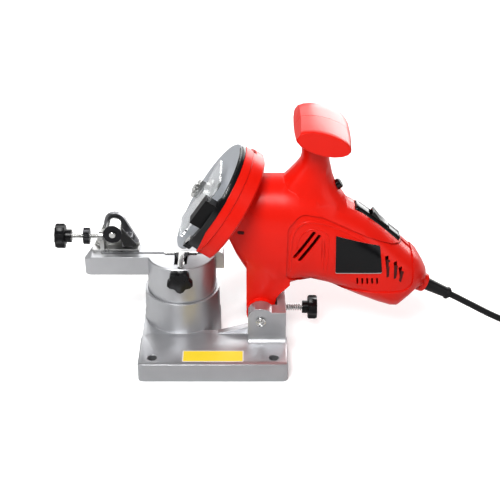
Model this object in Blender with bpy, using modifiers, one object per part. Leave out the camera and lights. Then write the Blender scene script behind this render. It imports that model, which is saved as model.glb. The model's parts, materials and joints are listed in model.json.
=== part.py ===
"""Electric chainsaw sharpener: a bench grinder with a tilting head and a swivelling chain vice.

Metres, +Z up, +X to the right along the bolt bar, +Y away from the operator. The origin is on the
bench, under the middle of the bolt bar. The head's middle plane, the swivel axis of the turntable
and the hinge's middle all lie at Y = TABLE_Y. Every solid is a separate named object.
"""

import math

import bmesh
import bpy
from mathutils import Matrix, Vector

# Clearances and fineness
GAP = 0.0003  # between pieces that touch
RUN_GAP = 0.0006  # beside and around turning pieces
OVERRUN = 0.004  # how far a cut runs past a face
WELD = 0.000002
SHY = 0.0001  # how far a joined shape stays back from a face that it would share
ROUND_SIDES = 28
SMALL_SIDES = 16
ARC_STEP = math.radians(26)
SHARP_ANGLE = math.radians(32)

# Base casting: the bolt bar
BAR_WIDTH = 0.136
BAR_DEPTH = 0.050
BAR_HEIGHT = 0.0185
BAR_CORNER = 0.0045
BAR_EDGE = 0.0025
BOLT_BORE = 0.0045
BOLT_X = 0.0551
BOLT_Y = -0.0142
POCKET_INSET = 0.010
POCKET_LENGTH = 0.032
POCKET_WIDTH = 0.030
POCKET_DEPTH = 0.012

# Base casting: the pedestal under the turntable
TABLE_X = -0.0305
TABLE_Y = 0.0609
TABLE_RADIUS = 0.0321
PEDESTAL_WALL = 0.0026
PEDESTAL_FLARE = 0.0013
PEDESTAL_HEIGHT = 0.0491
CUP_DEPTH = 0.0121
CUP_FLOOR = 0.0062
HOLLOW_RADIUS = 0.0172
FILLET_DROP = 0.0035
CORNER_WEB_INSET = 0.0012

# Base casting: the hinge bracket
HINGE_X = 0.0435
HINGE_Z = 0.0405
PIN_RADIUS = 0.0040
EAR_LEFT = 0.0317
EAR_RIGHT = 0.0665
EAR_TOP = 0.0497
LUG_RADIUS = 0.0135
EAR_THICKNESS = 0.0140
EAR_FRONT = 0.0120
WALL_THICKNESS = 0.0080
COVE_RADIUS = 0.0070
GUSSET_REACH = 0.0277
GUSSET_THICKNESS = 0.0060
GUSSET_RISE = 0.0075
PIN_HEAD = 0.0014
PIN_HEAD_RADIUS = 0.0046
PIN_TAIL = 0.0030
CIRCLIP_WALL = 0.0017
CIRCLIP_THICKNESS = 0.0010

# Head: the leg that stands in the bracket
BARREL_RADIUS = 0.0133
LEG_LEFT = 0.0302
LEG_HALF = 0.0300
LEG_TOE = 0.0210
TOE_LEFT = 0.0365
TOE_RIGHT = 0.0505
SPRING_POCKET = 0.0082
SPRING_POCKET_LENGTH = 0.0150
RETURN_WIRE = 0.0007
RETURN_CURLS = 4

# Depth stop: a sprung screw through the bracket's wall
DEPTH_Z = 0.0245
DEPTH_TIP_GAP = 0.0042
DEPTH_SCREW_RADIUS = 0.0020
DEPTH_SPRING_LENGTH = 0.0163
DEPTH_SPRING_WIRE = 0.0004
DEPTH_SPRING_RADIUS = 0.0027
DEPTH_SPRING_CURLS = 7
KNOB_HUB_RADIUS = 0.0061
DEPTH_HUB_LENGTH = 0.0052
DEPTH_KNOB_RADIUS = 0.0114
DEPTH_KNOB_LENGTH = 0.0089

# Turntable and its chain rail
TABLE_TOP = 0.0852
ARM_BOTTOM = 0.0664
ARM_FRONT = 0.0515
ARM_REAR = 0.0745
ARM_EDGE = 0.0035
ARM_TIP_FRONT = -0.1234
ARM_TIP_REAR = -0.1140
ARM_TIP_ROUND = 0.0060
ARM_DROOP_LENGTH = 0.0105
ARM_DROOP = 0.0050
SLOT_FRONT = 0.0583
SLOT_WIDTH = 0.0027
SLOT_DEPTH = 0.0085
SLOT_START = -0.1050
STUB_END = 0.0090
STUB_BOTTOM = 0.0679
STUB_ROUND = 0.0040
SWIVEL_BOLT_RADIUS = 0.0040
SWIVEL_BOLT_SEAT = 0.0180
WASHER_RADIUS = 0.0100
WASHER_THICKNESS = 0.0016
SWIVEL_NUT_FLATS = 0.0130
SWIVEL_NUT_HEIGHT = 0.0080
BOLT_PROUD = 0.0030

# Chain clamp
CLAMP_X = -0.0303
PLATE_LEFT = -0.0453
PLATE_RIGHT = -0.0164
PLATE_THICKNESS = 0.0022
PLATE_PROUD = 0.0009
CLAMP_TRAVEL = 0.0016
CLAMP_SLOPE = math.radians(7.0)
CLAMP_AXIS_DROP = 0.0035
CLAMP_NECK_RADIUS = 0.0027
CLAMP_RING_RADIUS = 0.0050
CLAMP_RING_LENGTH = 0.0060
CLAMP_GROOVE_HALF = 0.0058
COLLAR_SMALL = 0.0038
COLLAR_LARGE = 0.0050
COLLAR_LENGTH = 0.0060
CLAMP_KNOB_RADIUS = 0.0122
CLAMP_KNOB_LENGTH = 0.0073
CLAMP_KNOB_REACH = 0.0398
RECESS_HALF = 0.0060
RECESS_DEPTH = 0.0035

# Chain stop
STOP_PIN_X = -0.0914
STOP_PIN_Z = 0.1135
STOP_PIN_RADIUS = 0.0030
STOP_PIN_FRONT = 0.0420
STOP_SCREW_Z = 0.1028
STOP_SCREW_RADIUS = 0.0020
STOP_KNOB_RADIUS = 0.0113
STOP_KNOB_LENGTH = 0.0093
STOP_HUB_LENGTH = 0.0055
STOP_KNOB_END = -0.1462
STOP_NUT_X = -0.1174
STOP_NUT_RADIUS = 0.00765
STOP_NUT_LENGTH = 0.0055
STOP_TRAVEL = 0.0040
STOP_POST_X = -0.1040
STOP_POST_HALF = 0.0019
STOP_POST_RADIUS = 0.0049
STOP_TIP_X = -0.0868
BRACKET_FOOT_X = -0.1134
BRACKET_TOP_HALF = 0.0062
STOP_PLATE_THICKNESS = 0.0026
SPOOL_RADIUS = 0.0080
SPOOL_FRONT = 0.0460
SPOOL_LENGTH = 0.0182
STOP_WASHER_RADIUS = 0.0086
STOP_WASHER_THICKNESS = 0.0015
PAWL_FRONT = 0.0662
PAWL_LENGTH = 0.0040
PAWL_HUB = 0.0100
PAWL_TIP_X = -0.0700
PAWL_TIP_Z = 0.0930
PAWL_TOE = 0.0150
PAWL_TOE_FRONT = 0.0574
PAWL_TOE_HEIGHT = 0.0105
PAWL_SPRING_WIRE = 0.0005

# Grinding wheel, on an axis tilted from the vertical plane across the chain
WHEEL_X = -0.0040
WHEEL_Z = 0.1450
WHEEL_SLOPE = math.radians(56)
WHEEL_RADIUS = 0.0540
WHEEL_THICKNESS = 0.0032
WHEEL_BORE = 0.0110
FLANGE_RADIUS = 0.0150
FLANGE_THICKNESS = 0.0036
FLANGE_HUB_RADIUS = 0.0105
FLANGE_HUB_LENGTH = 0.0028
INNER_FLANGE_LENGTH = 0.0065
NUT_FLATS = 0.0170
NUT_HEIGHT = 0.0068
SPINDLE_PROUD = 0.0020

# Guard drum behind the wheel
GUARD_ROOM = 0.0030  # round the wheel, to the guard's outside
GUARD_RADIUS = WHEEL_RADIUS + GUARD_ROOM
GUARD_LIP = 0.0011
GUARD_LIP_LENGTH = 0.0075
GUARD_SETBACK = 0.0024
GUARD_DEPTH = 0.0215
GUARD_WALL = 0.0018
GUARD_BACK_WALL = 0.0025
GUARD_CUT = 0.0300
GUARD_FAR_EDGE = 0.0040
GUARD_FAR_STEP = 0.0120
GUARD_TOE = 0.0050
GUARD_TOE_SLOPE = math.radians(13)
GUARD_SCREW_RADIUS = 0.0034
GUARD_SCREW_CORE = 0.0015
GUARD_SCREW_RISE = 0.0120
GUARD_SCREW_SIDE = 0.0185

# Shield in front of the wheel
SHIELD_BLOCK_LENGTH = 0.0255
SHIELD_BLOCK_FORWARD = 0.0160
SHIELD_BLOCK_WIDTH = 0.0120
SHIELD_BLOCK_RISE = -0.0060
SHIELD_STRIP_WIDTH = 0.0055
SHIELD_STRIP_THICKNESS = 0.0020
SHIELD_STRIP_START = math.radians(63)
SHIELD_STRIP_END = math.radians(116)
SHIELD_THICKNESS = 0.0020
SHIELD_TOP = 0.0374
SHIELD_BOTTOM = 0.0268
SHIELD_FAR_EDGE = 0.0128
SHIELD_FAR_TOP = 0.0011
SHIELD_CORNER = 0.0080

# Motor, along the wheel's axis
SHAFT_RADIUS = 0.0050
FRONT_BEARING_RADIUS = 0.0130
FRONT_BEARING_WIDTH = 0.0090
REAR_BEARING_RADIUS = 0.0095
REAR_BEARING_WIDTH = 0.0070
BEARING_WALL = 0.0030
MOTOR_RADIUS = 0.0262
MOTOR_LENGTH = 0.0540
FAN_RADIUS = 0.0235
FAN_THICKNESS = 0.0060
FAN_BLADES = 7
FAN_HUB_RADIUS = 0.0090
STATOR_LENGTH = 0.0240
ROTOR_RADIUS = 0.0165
COMMUTATOR_RADIUS = 0.0100
COMMUTATOR_LENGTH = 0.0100
BRUSH_WIDTH = 0.0060
BRUSH_LENGTH = 0.0140
MOTOR_SPACE = 0.0014

# Housing: a lofted shell of two halves, parted at TABLE_Y
BODY_START = -0.0100
BODY_LENGTH = 0.2080
BODY_BOTTOM = 0.0350
BODY_HEIGHT = 0.1295
BODY_HALF_WIDTH = 0.0340
SHELL_WALL = 0.0035
SEAM_GAP = 0.0003
# Station along the length, height of the crest, height of the keel, half width
BODY_STATION_SHARES = (
    (0.000, 0.981, 0.844, 0.760),
    (0.060, 0.991, 0.695, 0.800),
    (0.115, 0.996, 0.569, 0.850),
    (0.150, 1.000, 0.435, 0.890),
    (0.192, 1.000, 0.316, 0.930),
    (0.245, 1.000, 0.242, 0.970),
    (0.322, 1.000, 0.136, 1.000),
    (0.348, 1.000, 0.157, 1.000),
    (0.380, 0.998, 0.198, 1.000),
    (0.420, 0.985, 0.224, 1.000),
    (0.480, 0.958, 0.229, 1.000),
    (0.557, 0.888, 0.198, 1.000),
    (0.620, 0.826, 0.163, 1.000),
    (0.700, 0.754, 0.104, 1.000),
    (0.780, 0.655, 0.051, 0.985),
    (0.838, 0.571, 0.020, 0.965),
    (0.868, 0.526, 0.018, 0.930),
    (0.915, 0.451, 0.096, 0.840),
    (0.955, 0.392, 0.154, 0.660),
    (0.985, 0.315, 0.154, 0.420),
    (1.000, 0.266, 0.185, 0.220),
)
RING_POINTS = 20
POST_POINTS = 14
GRIP_POINTS = 18
PLUG_POINTS = 18
CREST_POWER = 3.0
CREST_ROUNDNESS = 2.0
KEEL_POWER = 4.0
KEEL_ROUNDNESS = 2.6

# Handle: a post and a cross grip along Y
# How far the post's foot lies below the body's highest crest
POST_SINK = 0.0285
POST_HEIGHT = 0.0680
POST_LEFT = 0.0560
POST_WIDTH = 0.0620
POST_HALF = 0.0210
# Height above the post's foot, front edge, rear edge, half width
POST_STATION_SHARES = (
    (0.000, -0.161, 1.129, 1.250),
    (0.147, -0.097, 1.026, 1.150),
    (0.279, 0.000, 0.919, 1.040),
    (0.382, 0.089, 0.863, 0.960),
    (0.471, 0.185, 0.827, 0.900),
    (0.559, 0.274, 0.806, 0.850),
    (0.647, 0.347, 0.784, 0.810),
    (0.750, 0.376, 0.768, 0.780),
    (0.882, 0.369, 0.784, 0.800),
    (1.000, 0.350, 0.800, 0.840),
)
GRIP_X = 0.0965
# How far the grip's middle lies above the post's foot
GRIP_RISE = 0.0748
GRIP_LENGTH = 0.0680
GRIP_SEMI_LONG = 0.0264
GRIP_SEMI_SHORT = 0.0112
GRIP_TILT = math.radians(15.8)
GRIP_STATION_SHARES = (
    (-0.500, 0.895),
    (-0.488, 0.930),
    (-0.420, 0.955),
    (-0.220, 0.990),
    (0.000, 1.000),
    (0.250, 0.985),
    (0.400, 0.940),
    (0.460, 0.880),
    (0.490, 0.770),
    (0.500, 0.620),
)

# Openings and panels of the housing; places are shares of the body's length and height
PANEL_DEPTH = 0.0012
PANEL_ROUND = 0.0100
PANEL_CORNER_SHARES = (
    (0.366, 0.2919),
    (0.580, 0.1995),
    (0.930, 0.1995),
    (0.930, 0.4651),
    (0.520, 0.7930),
    (0.425, 0.8270),
    (0.372, 0.7200),
)
GROOVE_SHARES = ((0.5215, 0.5335), (0.3814, 0.7025))
GROOVE_WIDTH = 0.0010
GROOVE_DEPTH = 0.0008
SLOT_HALF = 0.0016
COOLING_SLOT_LENGTH = 0.0325
COOLING_SLOT_STEP = 0.0057
COOLING_SLOT_SHARES = (0.4435, 0.5886)
# Middle of each louvre along and up the body, and its length against the first one
LOUVRE_LENGTH = 0.0190
LOUVRE_SHARES = ((0.8090, 0.4135, 1.0), (0.8470, 0.3882, 0.67), (0.8700, 0.3503, 0.60))
LOUVRE_LEAN = math.radians(6)
GRILLE_STEP = 0.0045
GRILLE_LENGTH = 0.0068
GRILLE_COUNT = 5
GRILLE_SHARES = (0.6810, 0.2948)
HOUSING_SCREW_RADIUS = 0.0032
HOUSING_SCREW_HEAD = 0.0020
HOUSING_SCREW_SHARES = ((0.3365, 0.8416), (0.5673, 0.3474), (0.8269, 0.2085), (0.3460, 0.3166))
HOUSING_SCREW_LENGTH = 0.0180
SCREW_CORE_RADIUS = 0.0015

# Switch on the ridge and lock button at the post's root
SWITCH_SHARE = 0.774
SWITCH_LENGTH = 0.0530
SWITCH_WIDTH = 0.0170
SWITCH_DEPTH = 0.0100
SWITCH_PROUD = 0.0020
SWITCH_CORNER = 0.0030
ROCKER_LENGTH = 0.0240
ROCKER_WIDTH = 0.0110
ROCKER_PROUD = 0.0030
ROCKER_RADIUS = 0.0300
LOCK_RADIUS = 0.0048
LOCK_PROUD = 0.0036
LOCK_DEPTH = 0.0060
LOCK_TRAVEL = 0.0020
# The button's seat on the post, from the post's left edge and from its foot
LOCK_FORWARD = 0.056304
LOCK_RISE = 0.02054524
LOCK_TILT = math.radians(36)

# Cord, strain relief and plug
RELIEF_SHARES = (0.9918, 0.1401)
RELIEF_SLOPE = math.radians(27)
RELIEF_LENGTH = 0.0310
RELIEF_ROOT = 0.0068
RELIEF_END = 0.0046
RELIEF_FLANGE = 0.0090
RELIEF_FLANGE_LENGTH = 0.0030
RELIEF_SEAT = 0.0120
RELIEF_RINGS = 3
RELIEF_RING_DEPTH = 0.0006
CORD_RADIUS = 0.0031
CORD_FLOOR_GAP = 0.0001
COIL_X = 0.3500
COIL_Y = 0.0950
COIL_INNER = 0.0252
COIL_TURNS = 7
COIL_LAYERS = 2
COIL_LOOP_POINTS = 20
COIL_PITCH = 0.0069
COIL_LEAD = 0.0380
TIE_THICKNESS = 0.0010
TIE_WIDTH = 0.0100
TIE_ANGLE = math.radians(70)
PLUG_HALF_WIDTH = 0.0175
PLUG_BOOT = 0.0160
PLUG_BODY = 0.0340
PLUG_PIN_RADIUS = 0.0024
PLUG_PIN_LENGTH = 0.0190
PLUG_PIN_SPACING = 0.0190
# The route of the free cord, in metres: out of the strain relief and down to the bench
CORD_ROUTE = (
    (0.2360, 0.0609, 0.0324),
    (0.2430, 0.0609, 0.0284),
    (0.2500, 0.0609, 0.0244),
    (0.2570, 0.0608, 0.0204),
    (0.2640, 0.0607, 0.0166),
    (0.2710, 0.0605, 0.0131),
    (0.2780, 0.0600, 0.0101),
    (0.2850, 0.0592, 0.0076),
    (0.2920, 0.0581, 0.0057),
    (0.2990, 0.0566, 0.0044),
    (0.3060, 0.0547, 0.0036),
    (0.3130, 0.0525, 0.0034),
    (0.3200, 0.0502, 0.0035),
    (0.3270, 0.0481, 0.0038),
    (0.3350, 0.0465, 0.0042),
)
CORD_POINT_STEP = 0.0130

# Finishes: base colour, roughness, metallic
FINISHES = {
    "cast silver": ((0.330, 0.335, 0.350, 1.0), 0.38, 0.6),
    "turntable silver": ((0.360, 0.365, 0.380, 1.0), 0.38, 0.6),
    "housing red": ((0.620, 0.004, 0.006, 1.0), 0.25, 0.0),
    "black plastic": ((0.010, 0.010, 0.011, 1.0), 0.45, 0.0),
    "switch black": ((0.006, 0.006, 0.006, 1.0), 0.30, 0.0),
    "zinc steel": ((0.560, 0.560, 0.550, 1.0), 0.30, 1.0),
    "spring steel": ((0.350, 0.350, 0.360, 1.0), 0.35, 1.0),
    "blackened steel": ((0.025, 0.025, 0.027, 1.0), 0.40, 0.7),
    "plated bracket": ((0.460, 0.470, 0.460, 1.0), 0.35, 0.8),
    "grinding stone": ((0.330, 0.350, 0.370, 1.0), 0.85, 0.0),
    "clear plastic": ((0.850, 0.880, 0.900, 1.0), 0.08, 0.0),
    "copper": ((0.550, 0.230, 0.120, 1.0), 0.40, 1.0),
    "lamination steel": ((0.200, 0.200, 0.210, 1.0), 0.50, 0.9),
    "carbon": ((0.015, 0.015, 0.015, 1.0), 0.70, 0.0),
    "cord rubber": ((0.012, 0.012, 0.013, 1.0), 0.60, 0.0),
}

# Places that follow from the sizes above
SWITCH_X = BODY_START + SWITCH_SHARE * BODY_LENGTH
LOCK_X = POST_LEFT + LOCK_FORWARD
POST_BOTTOM = BODY_BOTTOM + BODY_HEIGHT - POST_SINK
GRIP_Z = POST_BOTTOM + GRIP_RISE
SLOPE_UP = Vector((math.cos(WHEEL_SLOPE), 0, math.sin(WHEEL_SLOPE)))
MOTOR_WAY = Vector((math.sin(WHEEL_SLOPE), 0, -math.cos(WHEEL_SLOPE)))
WHEEL_CENTRE = Vector((WHEEL_X, TABLE_Y, WHEEL_Z))
GUARD_BACK = GUARD_SETBACK + GUARD_DEPTH
FRONT_BEARING_START = GUARD_BACK + GAP + BEARING_WALL
MOTOR_START = FRONT_BEARING_START + FRONT_BEARING_WIDTH + GAP
FAN_START = MOTOR_START + MOTOR_SPACE
STATOR_START = FAN_START + FAN_THICKNESS + MOTOR_SPACE
COMMUTATOR_START = STATOR_START + STATOR_LENGTH + MOTOR_SPACE
MOTOR_END = MOTOR_START + MOTOR_LENGTH
REAR_BEARING_START = MOTOR_END + GAP
SHAFT_END = REAR_BEARING_START + REAR_BEARING_WIDTH + GAP
PEDESTAL_TOP_RADIUS = TABLE_RADIUS + GAP + PEDESTAL_WALL
PEDESTAL_FOOT_RADIUS = PEDESTAL_TOP_RADIUS + PEDESTAL_FLARE
CUP_BOTTOM = PEDESTAL_HEIGHT - CUP_DEPTH
LEG_SPAN = 2 * (TABLE_Y - EAR_FRONT - EAR_THICKNESS - RUN_GAP)
EAR_REAR = 2 * TABLE_Y - EAR_FRONT
COIL_RADIUS = COIL_INNER + COIL_PITCH * COIL_TURNS / COIL_LAYERS
COIL_FLOOR = TIE_THICKNESS + GAP + CORD_RADIUS
RELIEF_WAY = Vector((math.cos(RELIEF_SLOPE), 0, -math.sin(RELIEF_SLOPE)))


def collection_named(name):
    found = bpy.data.collections.new(name)
    bpy.context.scene.collection.children.link(found)
    return found


def clear_scene():
    for obj in list(bpy.data.objects):
        bpy.data.objects.remove(obj, do_unlink=True)


def finish_material(name):
    material = bpy.data.materials.get(name)
    if material:
        return material
    colour, roughness, metallic = FINISHES[name]
    material = bpy.data.materials.new(name)
    material.use_nodes = True
    shader = material.node_tree.nodes["Principled BSDF"]
    shader.inputs["Base Color"].default_value = colour
    shader.inputs["Roughness"].default_value = roughness
    shader.inputs["Metallic"].default_value = metallic
    material.diffuse_color = colour
    return material


# Frames: a frame's local Z is the axis that turned shapes spin about


def frame_along(axis, place, side=Vector((0, 1, 0))):
    """Local Z along the axis, local X as near to the side as it can be."""
    z = Vector(axis).normalized()
    x = (Vector(side) - z * z.dot(side)).normalized()
    y = z.cross(x)
    rotation = Matrix((x, y, z)).transposed().to_4x4()
    return Matrix.Translation(place) @ rotation


def upright_at(x, y, z=0.0):
    return Matrix.Translation((x, y, z))


def side_view_frame(y):
    """Local X and Y are the world's X and Z, and local Z points to the operator."""
    rotation = Matrix(((1, 0, 0), (0, 0, -1), (0, 1, 0))).to_4x4()
    return Matrix.Translation((0, y, 0)) @ rotation


def wheel_frame():
    """Local X up the wheel's face, local Z from the wheel's face to the motor."""
    rotation = Matrix((SLOPE_UP, Vector((0, -1, 0)), MOTOR_WAY)).transposed().to_4x4()
    return Matrix.Translation(WHEEL_CENTRE) @ rotation


def along_x(x, y, z):
    return frame_along((1, 0, 0), (x, y, z))


def along_y(x, y, z):
    return frame_along((0, 1, 0), (x, y, z), (1, 0, 0))


# Shapes


class Shapes:
    """Collections and the tools that make solids in them."""

    parts = None
    cutters = None


def place_mesh(name, bm, matrix):
    bmesh.ops.recalc_face_normals(bm, faces=bm.faces)
    mesh = bpy.data.meshes.new(name)
    bm.to_mesh(mesh)
    bm.free()
    obj = bpy.data.objects.new(name, mesh)
    obj.matrix_world = matrix
    Shapes.parts.objects.link(obj)
    return obj


def baked(obj):
    """The object as a plain mesh, its modifiers or its curve worked into it."""
    graph = bpy.context.evaluated_depsgraph_get()
    mesh = bpy.data.meshes.new_from_object(obj.evaluated_get(graph))
    bm = bmesh.new()
    bm.from_mesh(mesh)
    bmesh.ops.remove_doubles(bm, verts=bm.verts, dist=WELD)
    bm.to_mesh(mesh)
    bm.free()
    name = obj.name
    solid = bpy.data.objects.new(name, mesh)
    solid.matrix_world = obj.matrix_world.copy()
    Shapes.parts.objects.link(solid)
    bpy.data.objects.remove(obj, do_unlink=True)
    solid.name = name
    return solid


def box(name, low, high, matrix=Matrix()):
    bm = bmesh.new()
    size = [b - a for a, b in zip(low, high)]
    middle = [(a + b) / 2 for a, b in zip(low, high)]
    bmesh.ops.create_cube(bm, size=1.0)
    bmesh.ops.scale(bm, vec=size, verts=bm.verts)
    bmesh.ops.translate(bm, vec=middle, verts=bm.verts)
    return place_mesh(name, bm, matrix)


def soften(obj, width, chosen, segments=3):
    """Round the edges of a plain mesh that the test chooses, from its two end points."""
    bm = bmesh.new()
    bm.from_mesh(obj.data)
    edges = [e for e in bm.edges if chosen(*(v.co for v in e.verts))]
    bmesh.ops.bevel(
        bm, geom=edges, offset=width, segments=segments, profile=0.5, affect="EDGES"
    )
    bm.to_mesh(obj.data)
    bm.free()
    return obj


def cylinder(name, radius, start, end, matrix, sides=SMALL_SIDES):
    bm = bmesh.new()
    bmesh.ops.create_cone(
        bm, cap_ends=True, segments=sides, radius1=radius, radius2=radius, depth=end - start
    )
    bmesh.ops.translate(bm, vec=(0, 0, (start + end) / 2), verts=bm.verts)
    return place_mesh(name, bm, matrix)


def turned(name, profile, matrix, sides=ROUND_SIDES, closed=False):
    """A profile of (radius, height), down the outer side, spun about local Z."""
    mesh = bpy.data.meshes.new(name)
    points = [(radius, 0, height) for radius, height in profile]
    edges = [(i, i + 1) for i in range(len(points) - 1)]
    if closed:
        edges.append((len(points) - 1, 0))
    mesh.from_pydata(points, edges, [])
    obj = bpy.data.objects.new(name, mesh)
    obj.matrix_world = matrix
    Shapes.parts.objects.link(obj)
    screw = obj.modifiers.new("spin", "SCREW")
    screw.steps = sides
    screw.render_steps = sides
    screw.use_merge_vertices = True
    screw.merge_threshold = WELD
    return baked(obj)


def prism(name, outlines, low, high, matrix, edge=0.0, segments=2):
    """Flat outlines of (x, y) given a thickness from low to high along local Z.

    With an edge radius the outlines come in by it, and the rounded rim brings them out again.
    """
    curve = bpy.data.curves.new(name, "CURVE")
    curve.dimensions = "2D"
    curve.fill_mode = "BOTH"
    curve.extrude = (high - low) / 2 - edge
    curve.bevel_depth = edge
    curve.bevel_resolution = segments
    for outline in outlines:
        spline = curve.splines.new("POLY")
        spline.points.add(len(outline) - 1)
        for point, (x, y) in zip(spline.points, outline):
            point.co = (x, y, 0, 1)
        spline.use_cyclic_u = True
    obj = bpy.data.objects.new(name, curve)
    obj.matrix_world = matrix @ Matrix.Translation((0, 0, (low + high) / 2))
    Shapes.parts.objects.link(obj)
    return baked(obj)


def tube(name, points, radius, matrix=Matrix(), roundness=2, closed=False):
    """A wire or cord along a row of points."""
    curve = bpy.data.curves.new(name, "CURVE")
    curve.dimensions = "3D"
    curve.bevel_depth = radius
    curve.bevel_resolution = roundness
    curve.use_fill_caps = not closed
    spline = curve.splines.new("POLY")
    spline.points.add(len(points) - 1)
    for point, co in zip(spline.points, points):
        point.co = (*co, 1)
    spline.use_cyclic_u = closed
    obj = bpy.data.objects.new(name, curve)
    obj.matrix_world = matrix
    Shapes.parts.objects.link(obj)
    return baked(obj)


def loft(name, rings, matrix=Matrix()):
    """A closed skin through rings of equally many points, with both ends capped."""
    bm = bmesh.new()
    rows = [[bm.verts.new(point) for point in ring] for ring in rings]
    for row, following in zip(rows, rows[1:]):
        for i, vertex in enumerate(row):
            j = (i + 1) % len(row)
            bm.faces.new((vertex, row[j], following[j], following[i]))
    bm.faces.new(reversed(rows[0]))
    bm.faces.new(rows[-1])
    return place_mesh(name, bm, matrix)


def work_with(target, tool, operation, solver="EXACT"):
    modifier = target.modifiers.new(tool.name, "BOOLEAN")
    modifier.operation = operation
    modifier.solver = solver
    modifier.object = tool
    Shapes.parts.objects.unlink(tool)
    Shapes.cutters.objects.link(tool)
    tool.hide_render = True
    tool.display_type = "WIRE"


def joined(target, *tools, solver="EXACT"):
    for tool in tools:
        work_with(target, tool, "UNION", solver)
    return baked(target)


def cut(target, *tools, solver="EXACT"):
    for tool in tools:
        work_with(target, tool, "DIFFERENCE", solver)
    return baked(target)


def kept_inside(target, tool):
    work_with(target, tool, "INTERSECT")
    return baked(target)


def finished(obj, finish, parent=None):
    """Dress a solid, shade its round faces smooth and hang it on its joint's empty."""
    mesh = obj.data
    mesh.materials.clear()
    mesh.materials.append(finish_material(finish))
    for face in mesh.polygons:
        face.material_index = 0
    mesh.shade_smooth()
    mesh.set_sharp_from_angle(angle=SHARP_ANGLE)
    if parent:
        obj.parent = parent
        obj.matrix_parent_inverse = parent.matrix_world.inverted()
    return obj


def joint_empty(name, matrix, parent=None):
    """An empty on a joint's axis, which carries the pieces that move with it."""
    empty = bpy.data.objects.new(name, None)
    empty.empty_display_size = PIN_RADIUS
    empty.matrix_world = matrix
    Shapes.cutters.objects.link(empty)
    bpy.context.view_layer.update()
    if parent:
        empty.parent = parent
        empty.matrix_parent_inverse = parent.matrix_world.inverted()
    return empty


# Outlines


def rounded(corners):
    """Points of a closed outline of (x, y, radius) corners, with arcs at the corners."""
    points = []
    count = len(corners)
    for i, (x, y, radius) in enumerate(corners):
        here = Vector((x, y))
        back = (Vector(corners[i - 1][:2]) - here).normalized()
        ahead = (Vector(corners[(i + 1) % count][:2]) - here).normalized()
        opening = back.angle(ahead)
        turn = math.pi - opening
        if radius <= 0 or turn < WELD:
            points.append((x, y))
            continue
        reach = radius / math.tan(opening / 2)
        start = here + back * reach
        end = here + ahead * reach
        centre = here + (back + ahead).normalized() * (radius / math.sin(opening / 2))
        steps = max(1, math.ceil(turn / ARC_STEP))
        first = start - centre
        swing = first.angle_signed(end - centre)
        for k in range(steps + 1):
            angle = -swing * k / steps
            spoke = Vector(
                (
                    first.x * math.cos(angle) - first.y * math.sin(angle),
                    first.x * math.sin(angle) + first.y * math.cos(angle),
                )
            )
            points.append(tuple(centre + spoke))
    return points


def circle(radius, sides=SMALL_SIDES, x=0.0, y=0.0):
    return [
        (
            x + radius * math.cos(2 * math.pi * k / sides),
            y + radius * math.sin(2 * math.pi * k / sides),
        )
        for k in range(sides)
    ]


def hexagon(flats, x=0.0, y=0.0):
    return circle(flats / math.sqrt(3), 6, x, y)


def lobed(radius, lobes, depth, points_per_lobe=4):
    """The outline of a hand knob: as many lobes as asked, with hollows between them."""
    outline = []
    count = lobes * points_per_lobe
    for k in range(count):
        angle = 2 * math.pi * k / count
        reach = radius - depth * (1 - math.cos(lobes * angle)) / 2
        outline.append((reach * math.cos(angle), reach * math.sin(angle)))
    return outline


def slot_outline(length, width):
    """A slot along local X with blunt ends."""
    half = length / 2
    side = width / 2
    return [
        (-half, -side / 2),
        (-half + side / 2, -side),
        (half - side / 2, -side),
        (half, -side / 2),
        (half, side / 2),
        (half - side / 2, side),
        (-half + side / 2, side),
        (-half, side / 2),
    ]


def rounded_rectangle(left, bottom, right, top, radius):
    return rounded(
        [(left, bottom, radius), (right, bottom, radius), (right, top, radius), (left, top, radius)]
    )


def helix(mean_radius, wire, length, curls, points_per_curl=8):
    """A compression spring's wire, its ends inside the length given."""
    points = []
    count = curls * points_per_curl
    for k in range(count + 1):
        angle = 2 * math.pi * k / points_per_curl
        height = wire + (length - 2 * wire) * k / count
        points.append((mean_radius * math.cos(angle), mean_radius * math.sin(angle), height))
    return points


def smooth_route(points, step):
    """A smooth curve through the route's points, read again at an even step."""
    fine = []
    extended = [points[0], *points, points[-1]]
    for a, b, c, d in zip(extended, extended[1:], extended[2:], extended[3:]):
        a, b, c, d = Vector(a), Vector(b), Vector(c), Vector(d)
        for k in range(12):
            t = k / 12
            fine.append(
                (
                    2 * b
                    + (c - a) * t
                    + (2 * a - 5 * b + 4 * c - d) * t**2
                    + (3 * b - a - 3 * c + d) * t**3
                )
                / 2
            )
    fine.append(Vector(points[-1]))
    lengths = [0.0]
    for p, q in zip(fine, fine[1:]):
        lengths.append(lengths[-1] + (q - p).length)
    count = max(2, round(lengths[-1] / step))
    even = []
    k = 0
    for i in range(count + 1):
        wanted = lengths[-1] * i / count
        while k < len(lengths) - 2 and lengths[k + 1] < wanted:
            k += 1
        share = (wanted - lengths[k]) / max(lengths[k + 1] - lengths[k], WELD)
        even.append(fine[k].lerp(fine[k + 1], share))
    return even


# Base


def bar_block():
    half = BAR_WIDTH / 2
    bar = box("bar", (-half, -BAR_DEPTH / 2, 0), (half, BAR_DEPTH / 2, BAR_HEIGHT))
    soften(bar, BAR_CORNER, lambda a, b: abs(a.z - b.z) > BAR_HEIGHT / 2, 3)
    top = BAR_HEIGHT - WELD
    soften(bar, BAR_EDGE, lambda a, b: a.z > top and b.z > top, 2)
    return bar


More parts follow.
